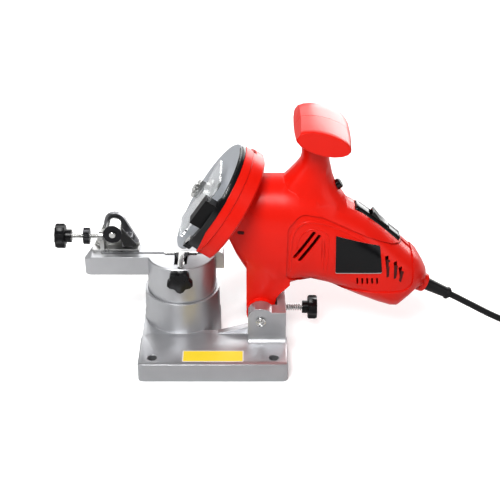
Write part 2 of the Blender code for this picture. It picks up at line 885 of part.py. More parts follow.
def pedestal():
    inner = TABLE_RADIUS + GAP
    bore = SWIVEL_BOLT_RADIUS + RUN_GAP
    floor = CUP_BOTTOM - CUP_FLOOR
    foot = BAR_HEIGHT + FILLET_DROP
    profile = [
        (PEDESTAL_TOP_RADIUS, PEDESTAL_HEIGHT),
        (PEDESTAL_TOP_RADIUS + PEDESTAL_FLARE / 3, foot + FILLET_DROP),
        (PEDESTAL_FOOT_RADIUS, foot),
        (PEDESTAL_FOOT_RADIUS, 0),
        (HOLLOW_RADIUS, 0),
        (HOLLOW_RADIUS, floor),
        (bore, floor),
        (bore, CUP_BOTTOM),
        (inner, CUP_BOTTOM),
        (inner, PEDESTAL_HEIGHT),
    ]
    return turned("pedestal", profile, upright_at(TABLE_X, TABLE_Y), 40, closed=True)


def corner_web():
    """The plate behind the bar that runs along the left edge to the pedestal."""
    left = -BAR_WIDTH / 2 + CORNER_WEB_INSET
    outline = [
        (left, BAR_DEPTH / 2 - OVERRUN),
        (TABLE_X, BAR_DEPTH / 2 - OVERRUN),
        (TABLE_X + HOLLOW_RADIUS, TABLE_Y - PEDESTAL_TOP_RADIUS + OVERRUN),
        (TABLE_X - HOLLOW_RADIUS, TABLE_Y - HOLLOW_RADIUS),
        (TABLE_X - PEDESTAL_TOP_RADIUS + OVERRUN, TABLE_Y),
        (left, TABLE_Y),
    ]
    return prism("corner web", [outline], 0, BAR_HEIGHT - SHY, Matrix())


def ear_outline():
    reach = math.sqrt(LUG_RADIUS**2 - (EAR_TOP - HINGE_Z) ** 2)
    start = math.atan2(EAR_TOP - HINGE_Z, reach)
    steps = 6
    arc = []
    for k in range(steps + 1):
        angle = start + (math.pi - start) * k / steps
        x = HINGE_X + LUG_RADIUS * math.cos(angle)
        arc.append((max(x, EAR_LEFT), HINGE_Z + LUG_RADIUS * math.sin(angle)))
    return [(EAR_LEFT, SHY), (EAR_RIGHT, SHY), (EAR_RIGHT, EAR_TOP), *arc[:-1]]


def bracket_pieces():
    front = prism("front ear", [ear_outline()], -EAR_THICKNESS, 0, side_view_frame(EAR_FRONT))
    rear = prism("rear ear", [ear_outline()], 0, EAR_THICKNESS, side_view_frame(EAR_REAR))
    wall = box(
        "bracket wall",
        (EAR_RIGHT - WALL_THICKNESS, EAR_FRONT + OVERRUN, 0),
        (EAR_RIGHT - SHY, EAR_REAR - OVERRUN, EAR_TOP - SHY),
    )
    floor = box(
        "bracket floor",
        (EAR_LEFT + SHY, EAR_FRONT + OVERRUN, 0),
        (EAR_RIGHT - 2 * SHY, EAR_REAR - OVERRUN, BAR_HEIGHT - 2 * SHY),
    )
    cove = [
        (EAR_FRONT + OVERRUN / 2, BAR_HEIGHT - OVERRUN / 2),
        (EAR_FRONT + OVERRUN / 2, BAR_HEIGHT + COVE_RADIUS),
        (EAR_FRONT, BAR_HEIGHT + COVE_RADIUS),
    ]
    steps = 4
    for k in range(1, steps):
        angle = math.pi / 2 * k / steps
        cove.append(
            (
                EAR_FRONT - COVE_RADIUS * (1 - math.cos(angle)),
                BAR_HEIGHT + COVE_RADIUS * (1 - math.sin(angle)),
            )
        )
    cove.append((EAR_FRONT - COVE_RADIUS, BAR_HEIGHT - SHY))
    cove.append((EAR_FRONT - COVE_RADIUS, BAR_HEIGHT - OVERRUN / 2))
    length = EAR_RIGHT - EAR_LEFT
    frame = Matrix(((0, 0, 1, EAR_LEFT), (1, 0, 0, 0), (0, 1, 0, 0), (0, 0, 0, 1)))
    fillet = prism("cove", [cove], SHY, length - SHY, frame)
    gusset = prism(
        "gusset",
        [
            [
                (EAR_LEFT - GUSSET_REACH, BAR_HEIGHT - OVERRUN),
                (EAR_LEFT + OVERRUN, BAR_HEIGHT - OVERRUN),
                (EAR_LEFT + OVERRUN, BAR_HEIGHT + GUSSET_RISE),
                (EAR_LEFT, BAR_HEIGHT + GUSSET_RISE),
                (EAR_LEFT - GUSSET_REACH, BAR_HEIGHT + SHY),
            ]
        ],
        -GUSSET_THICKNESS,
        0,
        side_view_frame(BAR_DEPTH / 2 - SHY),
    )
    web = box(
        "gusset web",
        (TABLE_X, BAR_DEPTH / 2 - OVERRUN, 0),
        (EAR_LEFT + OVERRUN, BAR_DEPTH / 2 + GUSSET_THICKNESS - SHY, BAR_HEIGHT - 3 * SHY),
    )
    return front, rear, wall, floor, fillet, gusset, web


def base_casting():
    casting = bar_block()
    casting.name = "base_casting"
    casting = joined(casting, corner_web(), pedestal(), *bracket_pieces(), solver="MANIFOLD")
    tools = []
    for side in (-1, 1):
        tools.append(
            cylinder(
                "bolt hole", BOLT_BORE, -OVERRUN, BAR_HEIGHT + OVERRUN, upright_at(side * BOLT_X, BOLT_Y)
            )
        )
        inner = side * POCKET_INSET
        outer = side * (POCKET_INSET + POCKET_LENGTH)
        tools.append(
            box(
                "underside pocket",
                (min(inner, outer), -POCKET_WIDTH / 2, -OVERRUN),
                (max(inner, outer), POCKET_WIDTH / 2, POCKET_DEPTH),
            )
        )
    tools.append(
        cylinder(
            "pin bore",
            PIN_RADIUS + GAP,
            -OVERRUN,
            EAR_REAR - EAR_FRONT + OVERRUN,
            along_y(HINGE_X, EAR_FRONT, HINGE_Z),
        )
    )
    tools.append(
        cylinder(
            "depth screw bore",
            DEPTH_SCREW_RADIUS + GAP,
            -OVERRUN,
            WALL_THICKNESS + OVERRUN,
            along_x(EAR_RIGHT - WALL_THICKNESS, TABLE_Y, DEPTH_Z),
        )
    )
    tools.append(
        box(
            "depth stop well",
            (EAR_LEFT - OVERRUN, TABLE_Y - LEG_SPAN / 2, LEG_TOE - 2 * DEPTH_SCREW_RADIUS),
            (EAR_RIGHT - WALL_THICKNESS, TABLE_Y + LEG_SPAN / 2, BAR_HEIGHT + OVERRUN),
        )
    )
    return cut(casting, *tools, solver="MANIFOLD")


def hinge_pin():
    start = EAR_FRONT - GAP - PIN_HEAD
    end = EAR_REAR + PIN_TAIL
    length = end - start
    groove = EAR_REAR + GAP - start
    waist = PIN_RADIUS * 0.9
    profile = [
        (0, length),
        (PIN_RADIUS, length),
        (PIN_RADIUS, groove + CIRCLIP_THICKNESS + GAP),
        (waist, groove + CIRCLIP_THICKNESS + GAP),
        (waist, groove - GAP),
        (PIN_RADIUS, groove - GAP),
        (PIN_RADIUS, PIN_HEAD),
        (PIN_HEAD_RADIUS, PIN_HEAD),
        (PIN_HEAD_RADIUS, PIN_HEAD / 3),
        (PIN_HEAD_RADIUS - PIN_HEAD, 0),
        (0, 0),
    ]
    return turned("hinge_pin", profile, along_y(HINGE_X, start, HINGE_Z), SMALL_SIDES)


def pin_circlip():
    """A sprung ring in the pin's groove, open at the bottom."""
    inner = PIN_RADIUS * 0.9 + GAP
    outer = PIN_RADIUS + CIRCLIP_WALL
    frame = along_y(HINGE_X, EAR_REAR + GAP, HINGE_Z)
    gap_half = math.radians(28)
    steps = 14
    arc = [gap_half + (2 * math.pi - 2 * gap_half) * k / steps for k in range(steps + 1)]
    outline = [(outer * math.cos(a), outer * math.sin(a)) for a in arc]
    outline += [(inner * math.cos(a), inner * math.sin(a)) for a in reversed(arc)]
    return prism("pin_circlip", [outline], 0, CIRCLIP_THICKNESS, frame)


def return_spring():
    radius = PIN_RADIUS + 2 * GAP + RETURN_WIRE
    length = SPRING_POCKET_LENGTH - 2 * GAP
    points = helix(radius, RETURN_WIRE, length, RETURN_CURLS)
    frame = along_y(HINGE_X, TABLE_Y - length / 2, HINGE_Z)
    return tube("return_spring", points, RETURN_WIRE, frame, roundness=1)


def depth_screw():
    tip = TOE_RIGHT + DEPTH_TIP_GAP
    length = EAR_RIGHT + GAP + DEPTH_SPRING_LENGTH + 2 * GAP + DEPTH_HUB_LENGTH / 2 - tip
    chamfer = DEPTH_SCREW_RADIUS / 4
    profile = [
        (0, length),
        (DEPTH_SCREW_RADIUS, length),
        (DEPTH_SCREW_RADIUS, chamfer),
        (DEPTH_SCREW_RADIUS - chamfer, 0),
        (0, 0),
    ]
    return turned("depth_screw", profile, along_x(tip, TABLE_Y, DEPTH_Z), SMALL_SIDES)


def depth_spring():
    points = helix(
        DEPTH_SPRING_RADIUS, DEPTH_SPRING_WIRE, DEPTH_SPRING_LENGTH, DEPTH_SPRING_CURLS
    )
    frame = along_x(EAR_RIGHT + GAP, TABLE_Y, DEPTH_Z)
    return tube("depth_spring", points, DEPTH_SPRING_WIRE, frame, roundness=1)


def hand_knob(name, frame, radius, length, hub_length, lobes, screw_radius, screw_depth):
    """A moulded knob: a hub towards the screw at local Z = 0, then the grip."""
    edge = length / 6
    grip = prism(
        name,
        [lobed(radius - edge, lobes, radius / 8, 3)],
        hub_length,
        hub_length + length,
        frame,
        edge,
        1,
    )
    hub = cylinder("hub", KNOB_HUB_RADIUS, 0, hub_length + edge, frame)
    bore = cylinder("bore", screw_radius + GAP, -OVERRUN, screw_depth + GAP, frame)
    return cut(joined(grip, hub), bore)


def depth_knob():
    start = EAR_RIGHT + GAP + DEPTH_SPRING_LENGTH + GAP
    frame = along_x(start, TABLE_Y, DEPTH_Z)
    return hand_knob(
        "depth_knob",
        frame,
        DEPTH_KNOB_RADIUS,
        DEPTH_KNOB_LENGTH,
        DEPTH_HUB_LENGTH,
        10,
        DEPTH_SCREW_RADIUS,
        DEPTH_HUB_LENGTH / 2 + GAP,
    )


# Turntable


def arm_outline():
    """The rail's plan, from above: a slanted end at the left, the stub at the right."""
    return [
        *rounded(
            [
                (ARM_TIP_FRONT, ARM_FRONT, ARM_TIP_ROUND),
                (TABLE_X, ARM_FRONT, 0),
                (TABLE_X, ARM_REAR, 0),
                (ARM_TIP_REAR, ARM_REAR, ARM_TIP_ROUND / 3),
            ]
        )
    ]


def clamp_frame():
    """Local Z runs out along the clamp screw, from the plate to the knob."""
    place = (CLAMP_X, plate_front() - GAP, TABLE_TOP - CLAMP_AXIS_DROP)
    way = Vector((0, -math.cos(CLAMP_SLOPE), -math.sin(CLAMP_SLOPE)))
    return frame_along(way, place, (1, 0, 0))


def plate_front():
    return SLOT_FRONT + SLOT_WIDTH - GAP - PLATE_THICKNESS


def turntable():
    disc_profile = [
        (0, TABLE_TOP),
        (TABLE_RADIUS - ARM_EDGE / 4, TABLE_TOP),
        (TABLE_RADIUS, TABLE_TOP - ARM_EDGE / 4),
        (TABLE_RADIUS, CUP_BOTTOM + GAP),
        (0, CUP_BOTTOM + GAP),
    ]
    disc = turned("turntable", disc_profile, upright_at(TABLE_X, TABLE_Y), 40)
    arm = prism("arm", [arm_outline()], ARM_BOTTOM, TABLE_TOP, Matrix())
    mid = (ARM_BOTTOM + TABLE_TOP) / 2
    front = ARM_FRONT + WELD
    soften(arm, ARM_EDGE, lambda a, b: min(a.z, b.z) > mid and max(a.y, b.y) < front, 3)
    stub = box(
        "stub",
        (TABLE_X, SLOT_FRONT + SLOT_WIDTH, STUB_BOTTOM),
        (STUB_END, ARM_REAR, TABLE_TOP),
    )
    end = STUB_END - WELD
    low = STUB_BOTTOM + WELD
    soften(stub, STUB_ROUND, lambda a, b: min(a.x, b.x) > end and min(a.z, b.z) > low, 3)
    body = joined(disc, arm, stub, solver="MANIFOLD")
    slot = box(
        "chain slot",
        (SLOT_START, SLOT_FRONT, TABLE_TOP - SLOT_DEPTH),
        (STUB_END + OVERRUN, SLOT_FRONT + SLOT_WIDTH, TABLE_TOP + OVERRUN),
    )
    pocket = box(
        "plate pocket",
        (PLATE_LEFT - GAP, plate_front() - CLAMP_TRAVEL - GAP, TABLE_TOP - SLOT_DEPTH),
        (PLATE_RIGHT + GAP, SLOT_FRONT + SLOT_WIDTH - SHY, TABLE_TOP + OVERRUN),
    )
    recess = box(
        "chain recess",
        (CLAMP_X - RECESS_HALF, SLOT_FRONT + SLOT_WIDTH / 2, TABLE_TOP - SLOT_DEPTH + SHY),
        (
            CLAMP_X + RECESS_HALF,
            SLOT_FRONT + SLOT_WIDTH + RECESS_DEPTH,
            TABLE_TOP + OVERRUN,
        ),
    )
    frame = clamp_frame()
    groove = box(
        "clamp groove",
        (-CLAMP_GROOVE_HALF, -2 * CLAMP_GROOVE_HALF, -OVERRUN / 4),
        (CLAMP_GROOVE_HALF, CLAMP_GROOVE_HALF, TABLE_RADIUS),
        frame,
    )
    seat_start = CLAMP_TRAVEL + GAP
    seat = box(
        "collar seat",
        (-COLLAR_LARGE - GAP, -3 * COLLAR_LARGE, seat_start),
        (COLLAR_LARGE + GAP, COLLAR_LARGE + GAP, seat_start + COLLAR_LENGTH + 2 * GAP),
        frame,
    )
    droop_frame = Matrix.Translation(
        (ARM_TIP_FRONT + ARM_DROOP_LENGTH, ARM_FRONT, TABLE_TOP)
    ) @ Matrix.Rotation(-math.atan2(ARM_DROOP, ARM_DROOP_LENGTH), 4, "Y")
    droop = box(
        "droop",
        (-2 * ARM_DROOP_LENGTH, -OVERRUN, 0),
        (0, ARM_REAR - ARM_FRONT + OVERRUN, ARM_DROOP_LENGTH),
        droop_frame,
    )
    bolt_bore = cylinder(
        "bolt bore",
        SWIVEL_BOLT_RADIUS + GAP,
        -OVERRUN,
        SWIVEL_BOLT_SEAT + GAP,
        upright_at(TABLE_X, TABLE_Y, CUP_BOTTOM),
    )
    return cut(body, slot, pocket, recess, groove, seat, droop, bolt_bore, solver="MANIFOLD")


def swivel_bolt():
    floor = CUP_BOTTOM - CUP_FLOOR
    low = floor - GAP - WASHER_THICKNESS - GAP - SWIVEL_NUT_HEIGHT - BOLT_PROUD
    high = CUP_BOTTOM + SWIVEL_BOLT_SEAT
    chamfer = SWIVEL_BOLT_RADIUS / 4
    profile = [
        (0, high),
        (SWIVEL_BOLT_RADIUS, high),
        (SWIVEL_BOLT_RADIUS, low + chamfer),
        (SWIVEL_BOLT_RADIUS - chamfer, low),
        (0, low),
    ]
    return turned("swivel_bolt", profile, upright_at(TABLE_X, TABLE_Y), SMALL_SIDES)


def lock_washer():
    top = CUP_BOTTOM - CUP_FLOOR - GAP
    inner = SWIVEL_BOLT_RADIUS + GAP
    profile = [
        (WASHER_RADIUS, top),
        (WASHER_RADIUS, top - WASHER_THICKNESS),
        (inner, top - WASHER_THICKNESS),
        (inner, top),
    ]
    return turned("lock_washer", profile, upright_at(TABLE_X, TABLE_Y), 24, closed=True)


def swivel_lock_nut():
    top = CUP_BOTTOM - CUP_FLOOR - GAP - WASHER_THICKNESS - GAP
    outlines = [hexagon(SWIVEL_NUT_FLATS), circle(SWIVEL_BOLT_RADIUS + GAP)]
    return prism(
        "swivel_lock_nut", outlines, top - SWIVEL_NUT_HEIGHT, top, upright_at(TABLE_X, TABLE_Y)
    )


# Chain clamp


def clamp_plate():
    front = plate_front()
    plate = box(
        "clamp_plate",
        (PLATE_LEFT, front, TABLE_TOP - SLOT_DEPTH + GAP),
        (PLATE_RIGHT, front + PLATE_THICKNESS, TABLE_TOP + PLATE_PROUD),
    )
    return soften(
        plate, PLATE_PROUD / 2, lambda a, b: min(a.z, b.z) > TABLE_TOP and abs(a.x - b.x) > OVERRUN, 1
    )


def clamp_screw():
    reach = CLAMP_KNOB_REACH - CLAMP_KNOB_LENGTH / 2
    ring = seat_end() + OVERRUN
    profile = [
        (0, reach),
        (CLAMP_NECK_RADIUS, reach),
        (CLAMP_NECK_RADIUS, ring + CLAMP_RING_LENGTH),
        (CLAMP_RING_RADIUS, ring + CLAMP_RING_LENGTH),
        (CLAMP_RING_RADIUS, ring),
        (CLAMP_NECK_RADIUS, ring),
        (CLAMP_NECK_RADIUS, CLAMP_NECK_RADIUS / 3),
        (CLAMP_NECK_RADIUS * 0.6, 0),
        (0, 0),
    ]
    return turned("clamp_screw", profile, clamp_frame(), SMALL_SIDES)


def seat_end():
    return CLAMP_TRAVEL + GAP + COLLAR_LENGTH + 2 * GAP


def clamp_collar():
    """The bush that the clamp screw is threaded through, wide end towards the plate."""
    start = CLAMP_TRAVEL + 2 * GAP
    end = start + COLLAR_LENGTH
    inner = CLAMP_NECK_RADIUS + GAP
    profile = [
        (COLLAR_SMALL, end),
        (COLLAR_LARGE, start + COLLAR_LENGTH / 3),
        (COLLAR_LARGE, start),
        (inner, start),
        (inner, end),
    ]
    return turned("clamp_collar", profile, clamp_frame(), 24, closed=True)


def clamp_knob():
    frame = clamp_frame() @ Matrix.Translation((0, 0, CLAMP_KNOB_REACH - CLAMP_KNOB_LENGTH))
    edge = CLAMP_KNOB_LENGTH / 6
    grip = prism(
        "clamp_knob",
        [lobed(CLAMP_KNOB_RADIUS - edge, 5, CLAMP_KNOB_RADIUS / 4, 6)],
        0,
        CLAMP_KNOB_LENGTH,
        frame @ Matrix.Rotation(-math.pi / 2, 4, "Z"),
        edge,
        1,
    )
    bore = cylinder(
        "bore", CLAMP_NECK_RADIUS + GAP, -OVERRUN, CLAMP_KNOB_LENGTH / 2 + GAP, frame
    )
    return cut(grip, bore)


# Chain stop


def cheek_front():
    return PAWL_FRONT + PAWL_LENGTH + RUN_GAP


def stop_bracket():
    """A bent plate: a foot on the rail, a cheek behind the pawl and a tab for the screw."""
    front = cheek_front()
    foot = TABLE_TOP + GAP
    foot_front = SLOT_FRONT + SLOT_WIDTH + GAP
    foot_right = PAWL_TIP_X
    top = STOP_PIN_Z + BRACKET_TOP_HALF
    outline = rounded(
        [
            (BRACKET_FOOT_X, foot, 0),
            (foot_right, foot, 0),
            (foot_right, foot + STOP_PLATE_THICKNESS, 0),
            (STOP_PIN_X + BRACKET_TOP_HALF, top, BRACKET_TOP_HALF),
            (STOP_PIN_X - BRACKET_TOP_HALF, top, BRACKET_TOP_HALF),
        ]
    )
    cheek = prism("stop_bracket", [outline], -STOP_PLATE_THICKNESS, 0, side_view_frame(front))
    foot_plate = box(
        "foot",
        (BRACKET_FOOT_X + SHY, foot_front, foot + SHY),
        (foot_right - SHY, front + STOP_PLATE_THICKNESS / 2, foot + STOP_PLATE_THICKNESS - SHY),
    )
    tab = box(
        "screw tab",
        (STOP_POST_X - STOP_POST_HALF, foot_front + SHY, foot + 2 * SHY),
        (
            STOP_POST_X + STOP_POST_HALF,
            front + STOP_PLATE_THICKNESS / 2,
            STOP_SCREW_Z,
        ),
    )
    boss = cylinder(
        "screw boss",
        STOP_POST_RADIUS,
        SHY,
        2 * STOP_POST_HALF - SHY,
        along_x(STOP_POST_X - STOP_POST_HALF, TABLE_Y, STOP_SCREW_Z),
        20,
    )
    pin_bore = cylinder(
        "pin bore",
        STOP_PIN_RADIUS + GAP,
        -OVERRUN,
        STOP_PLATE_THICKNESS + OVERRUN,
        along_y(STOP_PIN_X, front, STOP_PIN_Z),
    )
    screw_bore = cylinder(
        "screw bore",
        STOP_SCREW_RADIUS + GAP,
        -OVERRUN,
        2 * OVERRUN,
        along_x(STOP_POST_X - STOP_POST_HALF, TABLE_Y, STOP_SCREW_Z),
    )
    bracket = joined(cheek, foot_plate, tab, boss, solver="MANIFOLD")
    return cut(bracket, pin_bore, screw_bore, solver="MANIFOLD")


def stop_pin():
    rear = cheek_front() + STOP_PLATE_THICKNESS + STOP_WASHER_THICKNESS
    length = rear - STOP_PIN_FRONT
    chamfer = STOP_PIN_RADIUS / 5
    profile = [
        (0, length),
        (STOP_PIN_RADIUS, length),
        (STOP_PIN_RADIUS, chamfer),
        (STOP_PIN_RADIUS - chamfer, 0),
        (0, 0),
    ]
    return turned("stop_pin", profile, along_y(STOP_PIN_X, STOP_PIN_FRONT, STOP_PIN_Z), SMALL_SIDES)


def ring_piece(name, outer, inner, length, frame, sides=20):
    profile = [(outer, length), (outer, 0), (inner, 0), (inner, length)]
    return turned(name, profile, frame, sides, closed=True)


def stop_washer():
    start = SPOOL_FRONT - GAP - STOP_WASHER_THICKNESS
    return ring_piece(
        "stop_washer",
        STOP_WASHER_RADIUS,
        STOP_PIN_RADIUS + GAP,
        STOP_WASHER_THICKNESS,
        along_y(STOP_PIN_X, start, STOP_PIN_Z),
    )


def pawl_spool():
    inner = STOP_PIN_RADIUS + GAP
    waist = SPOOL_RADIUS * 0.92
    rim = SPOOL_LENGTH / 8
    profile = [
        (waist, SPOOL_LENGTH),
        (waist, rim),
        (SPOOL_RADIUS, rim),
        (SPOOL_RADIUS, 0),
        (inner, 0),
        (inner, SPOOL_LENGTH),
    ]
    frame = along_y(STOP_PIN_X, SPOOL_FRONT, STOP_PIN_Z)
    return turned("pawl_spool", profile, frame, 20, closed=True)


def pawl():
    """The stop finger: a hub on the pin, an arm down to a broad toe over the chain."""
    tip = Vector((PAWL_TIP_X, PAWL_TIP_Z))
    hub = Vector((STOP_PIN_X, STOP_PIN_Z))
    way = (tip - hub).normalized()
    side = math.atan2(way.y, way.x) + math.acos(min(1.0, PAWL_HUB / (tip - hub).length))
    low = math.atan2(tip.y - hub.y, tip.x - PAWL_TOE - hub.x) - math.acos(
        min(1.0, PAWL_HUB / (Vector((tip.x - PAWL_TOE, tip.y)) - hub).length)
    )
    steps = 12
    swing = 2 * math.pi - (side - low)
    outline = [
        (
            hub.x + PAWL_HUB * math.cos(side + swing * k / steps),
            hub.y + PAWL_HUB * math.sin(side + swing * k / steps),
        )
        for k in range(steps + 1)
    ]
    outline += [(tip.x - PAWL_TOE, tip.y), (tip.x, tip.y)]
    plate = prism("pawl", [outline], -PAWL_LENGTH, 0, side_view_frame(PAWL_FRONT))
    toe = box(
        "toe",
        (tip.x - PAWL_TOE + SHY, PAWL_TOE_FRONT, tip.y + SHY),
        (tip.x - PAWL_TOE / 3, PAWL_FRONT + PAWL_LENGTH / 2, tip.y + PAWL_TOE_HEIGHT),
    )
    solid = joined(plate, toe, solver="MANIFOLD")
    bore = cylinder(
        "bore",
        STOP_PIN_RADIUS + GAP,
        -OVERRUN,
        PAWL_LENGTH + OVERRUN,
        along_y(STOP_PIN_X, PAWL_FRONT, STOP_PIN_Z),
    )
    return cut(solid, bore)


def pawl_spring():
    start = SPOOL_FRONT + SPOOL_LENGTH + GAP
    space = PAWL_FRONT - GAP - start
    radius = STOP_PIN_RADIUS + GAP + PAWL_SPRING_WIRE
    wire = min(PAWL_SPRING_WIRE, space / 4)
    points = helix(radius, wire, space, 1)
    frame = along_y(STOP_PIN_X, start, STOP_PIN_Z)
    return tube("pawl_spring", points, wire, frame, roundness=1)


def stop_screw():
    start = STOP_KNOB_END + STOP_KNOB_LENGTH + STOP_HUB_LENGTH / 2
    length = STOP_TIP_X - start
    chamfer = STOP_SCREW_RADIUS / 4
    profile = [
        (0, length),
        (STOP_SCREW_RADIUS - chamfer, length),
        (STOP_SCREW_RADIUS, length - chamfer),
        (STOP_SCREW_RADIUS, 0),
        (0, 0),
    ]
    return turned("stop_screw", profile, along_x(start, TABLE_Y, STOP_SCREW_Z), SMALL_SIDES)


def stop_knob():
    place = (STOP_KNOB_END + STOP_KNOB_LENGTH + STOP_HUB_LENGTH, TABLE_Y, STOP_SCREW_Z)
    frame = frame_along((-1, 0, 0), place)
    return hand_knob(
        "stop_knob",
        frame,
        STOP_KNOB_RADIUS,
        STOP_KNOB_LENGTH,
        STOP_HUB_LENGTH,
        10,
        STOP_SCREW_RADIUS,
        STOP_HUB_LENGTH / 2 + GAP,
    )


def stop_lock_nut():
    outlines = [
        lobed(STOP_NUT_RADIUS, 14, STOP_NUT_RADIUS / 10, 2),
        circle(STOP_SCREW_RADIUS + GAP, SMALL_SIDES),
    ]
    frame = along_x(STOP_NUT_X, TABLE_Y, STOP_SCREW_Z)
    return prism("stop_lock_nut", outlines, -STOP_NUT_LENGTH / 2, STOP_NUT_LENGTH / 2, frame)


# Grinding wheel and its drive


def grinding_wheel():
    chamfer = WHEEL_THICKNESS / 5
    profile = [
        (WHEEL_RADIUS - chamfer, WHEEL_THICKNESS),
        (WHEEL_RADIUS, WHEEL_THICKNESS - chamfer),
        (WHEEL_RADIUS, chamfer),
        (WHEEL_RADIUS - chamfer, 0),
        (WHEEL_BORE, 0),
        (WHEEL_BORE, WHEEL_THICKNESS),
    ]
    return turned("grinding_wheel", profile, wheel_frame(), 44, closed=True)


def inner_flange():
    bore = SHAFT_RADIUS + GAP
    back = WHEEL_THICKNESS + GAP
    spigot = WHEEL_BORE - GAP
    waist = FLANGE_RADIUS * 0.7
    profile = [
        (waist, back + INNER_FLANGE_LENGTH),
        (waist, back + FLANGE_THICKNESS),
        (FLANGE_RADIUS, back + FLANGE_THICKNESS),
        (FLANGE_RADIUS, back),
        (spigot, back),
        (spigot, WHEEL_THICKNESS / 6),
        (bore, WHEEL_THICKNESS / 6),
        (bore, back + INNER_FLANGE_LENGTH),
    ]
    return turned("inner_flange", profile, wheel_frame(), 20, closed=True)


def outer_flange():
    bore = SHAFT_RADIUS + GAP
    front = -GAP - FLANGE_THICKNESS
    profile = [
        (FLANGE_RADIUS, -GAP),
        (FLANGE_RADIUS, front + FLANGE_THICKNESS / 4),
        (FLANGE_RADIUS - FLANGE_THICKNESS / 4, front),
        (FLANGE_HUB_RADIUS, front),
        (FLANGE_HUB_RADIUS - FLANGE_HUB_LENGTH / 3, front - FLANGE_HUB_LENGTH),
        (bore, front - FLANGE_HUB_LENGTH),
        (bore, -GAP),
    ]
    return turned("outer_flange", profile, wheel_frame(), 24, closed=True)


def nut_base():
    return -GAP - FLANGE_THICKNESS - FLANGE_HUB_LENGTH - GAP


def wheel_nut():
    outlines = [hexagon(NUT_FLATS), circle(SHAFT_RADIUS + GAP)]
    nut = prism("wheel_nut", outlines, nut_base() - NUT_HEIGHT, nut_base(), wheel_frame())
    corner = NUT_FLATS / math.sqrt(3)
    cone = [
        (0, nut_base() + OVERRUN),
        (corner + NUT_HEIGHT, nut_base() + OVERRUN),
        (corner + NUT_HEIGHT, nut_base() - NUT_HEIGHT + NUT_HEIGHT / 2),
        (corner + NUT_HEIGHT / 8, nut_base() - NUT_HEIGHT + NUT_HEIGHT / 4),
        (NUT_FLATS / 2, nut_base() - NUT_HEIGHT - WELD),
        (0, nut_base() - NUT_HEIGHT - WELD),
    ]
    return kept_inside(nut, turned("chamfer", cone, wheel_frame(), 24))


def rotor_shaft():
    front = nut_base() - NUT_HEIGHT - SPINDLE_PROUD
    chamfer = SHAFT_RADIUS / 5
    rear = SHAFT_RADIUS * 0.8
    profile = [
        (0, SHAFT_END),
        (rear, SHAFT_END),
        (rear, MOTOR_END),
        (SHAFT_RADIUS, MOTOR_END),
        (SHAFT_RADIUS, front + chamfer),
        (SHAFT_RADIUS - chamfer, front),
        (0, front),
    ]
    return turned("rotor_shaft", profile, wheel_frame(), 24)


def fan():
    """A hub with a back plate and straight blades."""
    plate = FAN_THICKNESS / 5
    bore = SHAFT_RADIUS + GAP
    profile = [
        (FAN_HUB_RADIUS, FAN_THICKNESS),
        (FAN_HUB_RADIUS, plate),
        (FAN_RADIUS, plate),
        (FAN_RADIUS, 0),
        (bore, 0),
        (bore, FAN_THICKNESS),
    ]
    frame = wheel_frame() @ Matrix.Translation((0, 0, FAN_START))
    hub = turned("fan", profile, frame, 3 * FAN_BLADES, closed=True)
    blades = []
    for k in range(FAN_BLADES):
        turn = Matrix.Rotation(2 * math.pi * k / FAN_BLADES, 4, "Z")
        blades.append(
            box(
                "blade",
                ((bore + FAN_HUB_RADIUS) / 2, -plate / 2, plate / 2),
                (FAN_RADIUS - plate, plate / 2, FAN_THICKNESS - SHY),
                frame @ turn,
            )
        )
    return joined(hub, *blades, solver="MANIFOLD")


def rotor_core():
    return ring_piece(
        "rotor_core",
        ROTOR_RADIUS,
        SHAFT_RADIUS + GAP,
        STATOR_LENGTH,
        wheel_frame() @ Matrix.Translation((0, 0, STATOR_START)),
    )


def commutator():
    return ring_piece(
        "commutator",
        COMMUTATOR_RADIUS,
        SHAFT_RADIUS + GAP,
        COMMUTATOR_LENGTH,
        wheel_frame() @ Matrix.Translation((0, 0, COMMUTATOR_START)),
    )


def stator():
    """A laminated pack: round outside, two pole faces around the rotor."""
    return ring_piece(
        "stator",
        MOTOR_RADIUS,
        ROTOR_RADIUS + RUN_GAP,
        STATOR_LENGTH,
        wheel_frame() @ Matrix.Translation((0, 0, STATOR_START)),
        32,
    )


def bearing(name, outer, inner, start, width):
    frame = wheel_frame() @ Matrix.Translation((0, 0, start))
    return ring_piece(name, outer, inner + GAP, width, frame, 20)


def brush(name, side):
    """A carbon block on the commutator, along Y."""
    middle = COMMUTATOR_START + COMMUTATOR_LENGTH / 2
    near = side * (COMMUTATOR_RADIUS + GAP)
    far = side * (MOTOR_RADIUS - GAP)
    return box(
        name,
        (-BRUSH_WIDTH / 2, min(near, far), middle - BRUSH_WIDTH / 2),
        (BRUSH_WIDTH / 2, max(near, far), middle + BRUSH_WIDTH / 2),
        wheel_frame(),
    )


def guard_cutters(frame):
    reach = 2 * GUARD_RADIUS
    low = box(
        "guard foot cut",
        (-reach, -reach, GUARD_SETBACK - OVERRUN),
        (-GUARD_CUT, reach, GUARD_BACK + OVERRUN),
        frame,
    )
    far = box(
        "guard far cut",
        (-reach, -reach, GUARD_SETBACK - OVERRUN),
        (reach, -GUARD_FAR_EDGE, GUARD_SETBACK + GUARD_FAR_STEP),
        frame,
    )
    toe_frame = (
        frame
        @ Matrix.Translation((-GUARD_TOE, 0, GUARD_SETBACK))
        @ Matrix.Rotation(GUARD_TOE_SLOPE, 4, "Y")
    )
    toe = box("guard toe cut", (-reach, -reach, -reach), (0, reach, 0), toe_frame)
    return [low, far, toe]


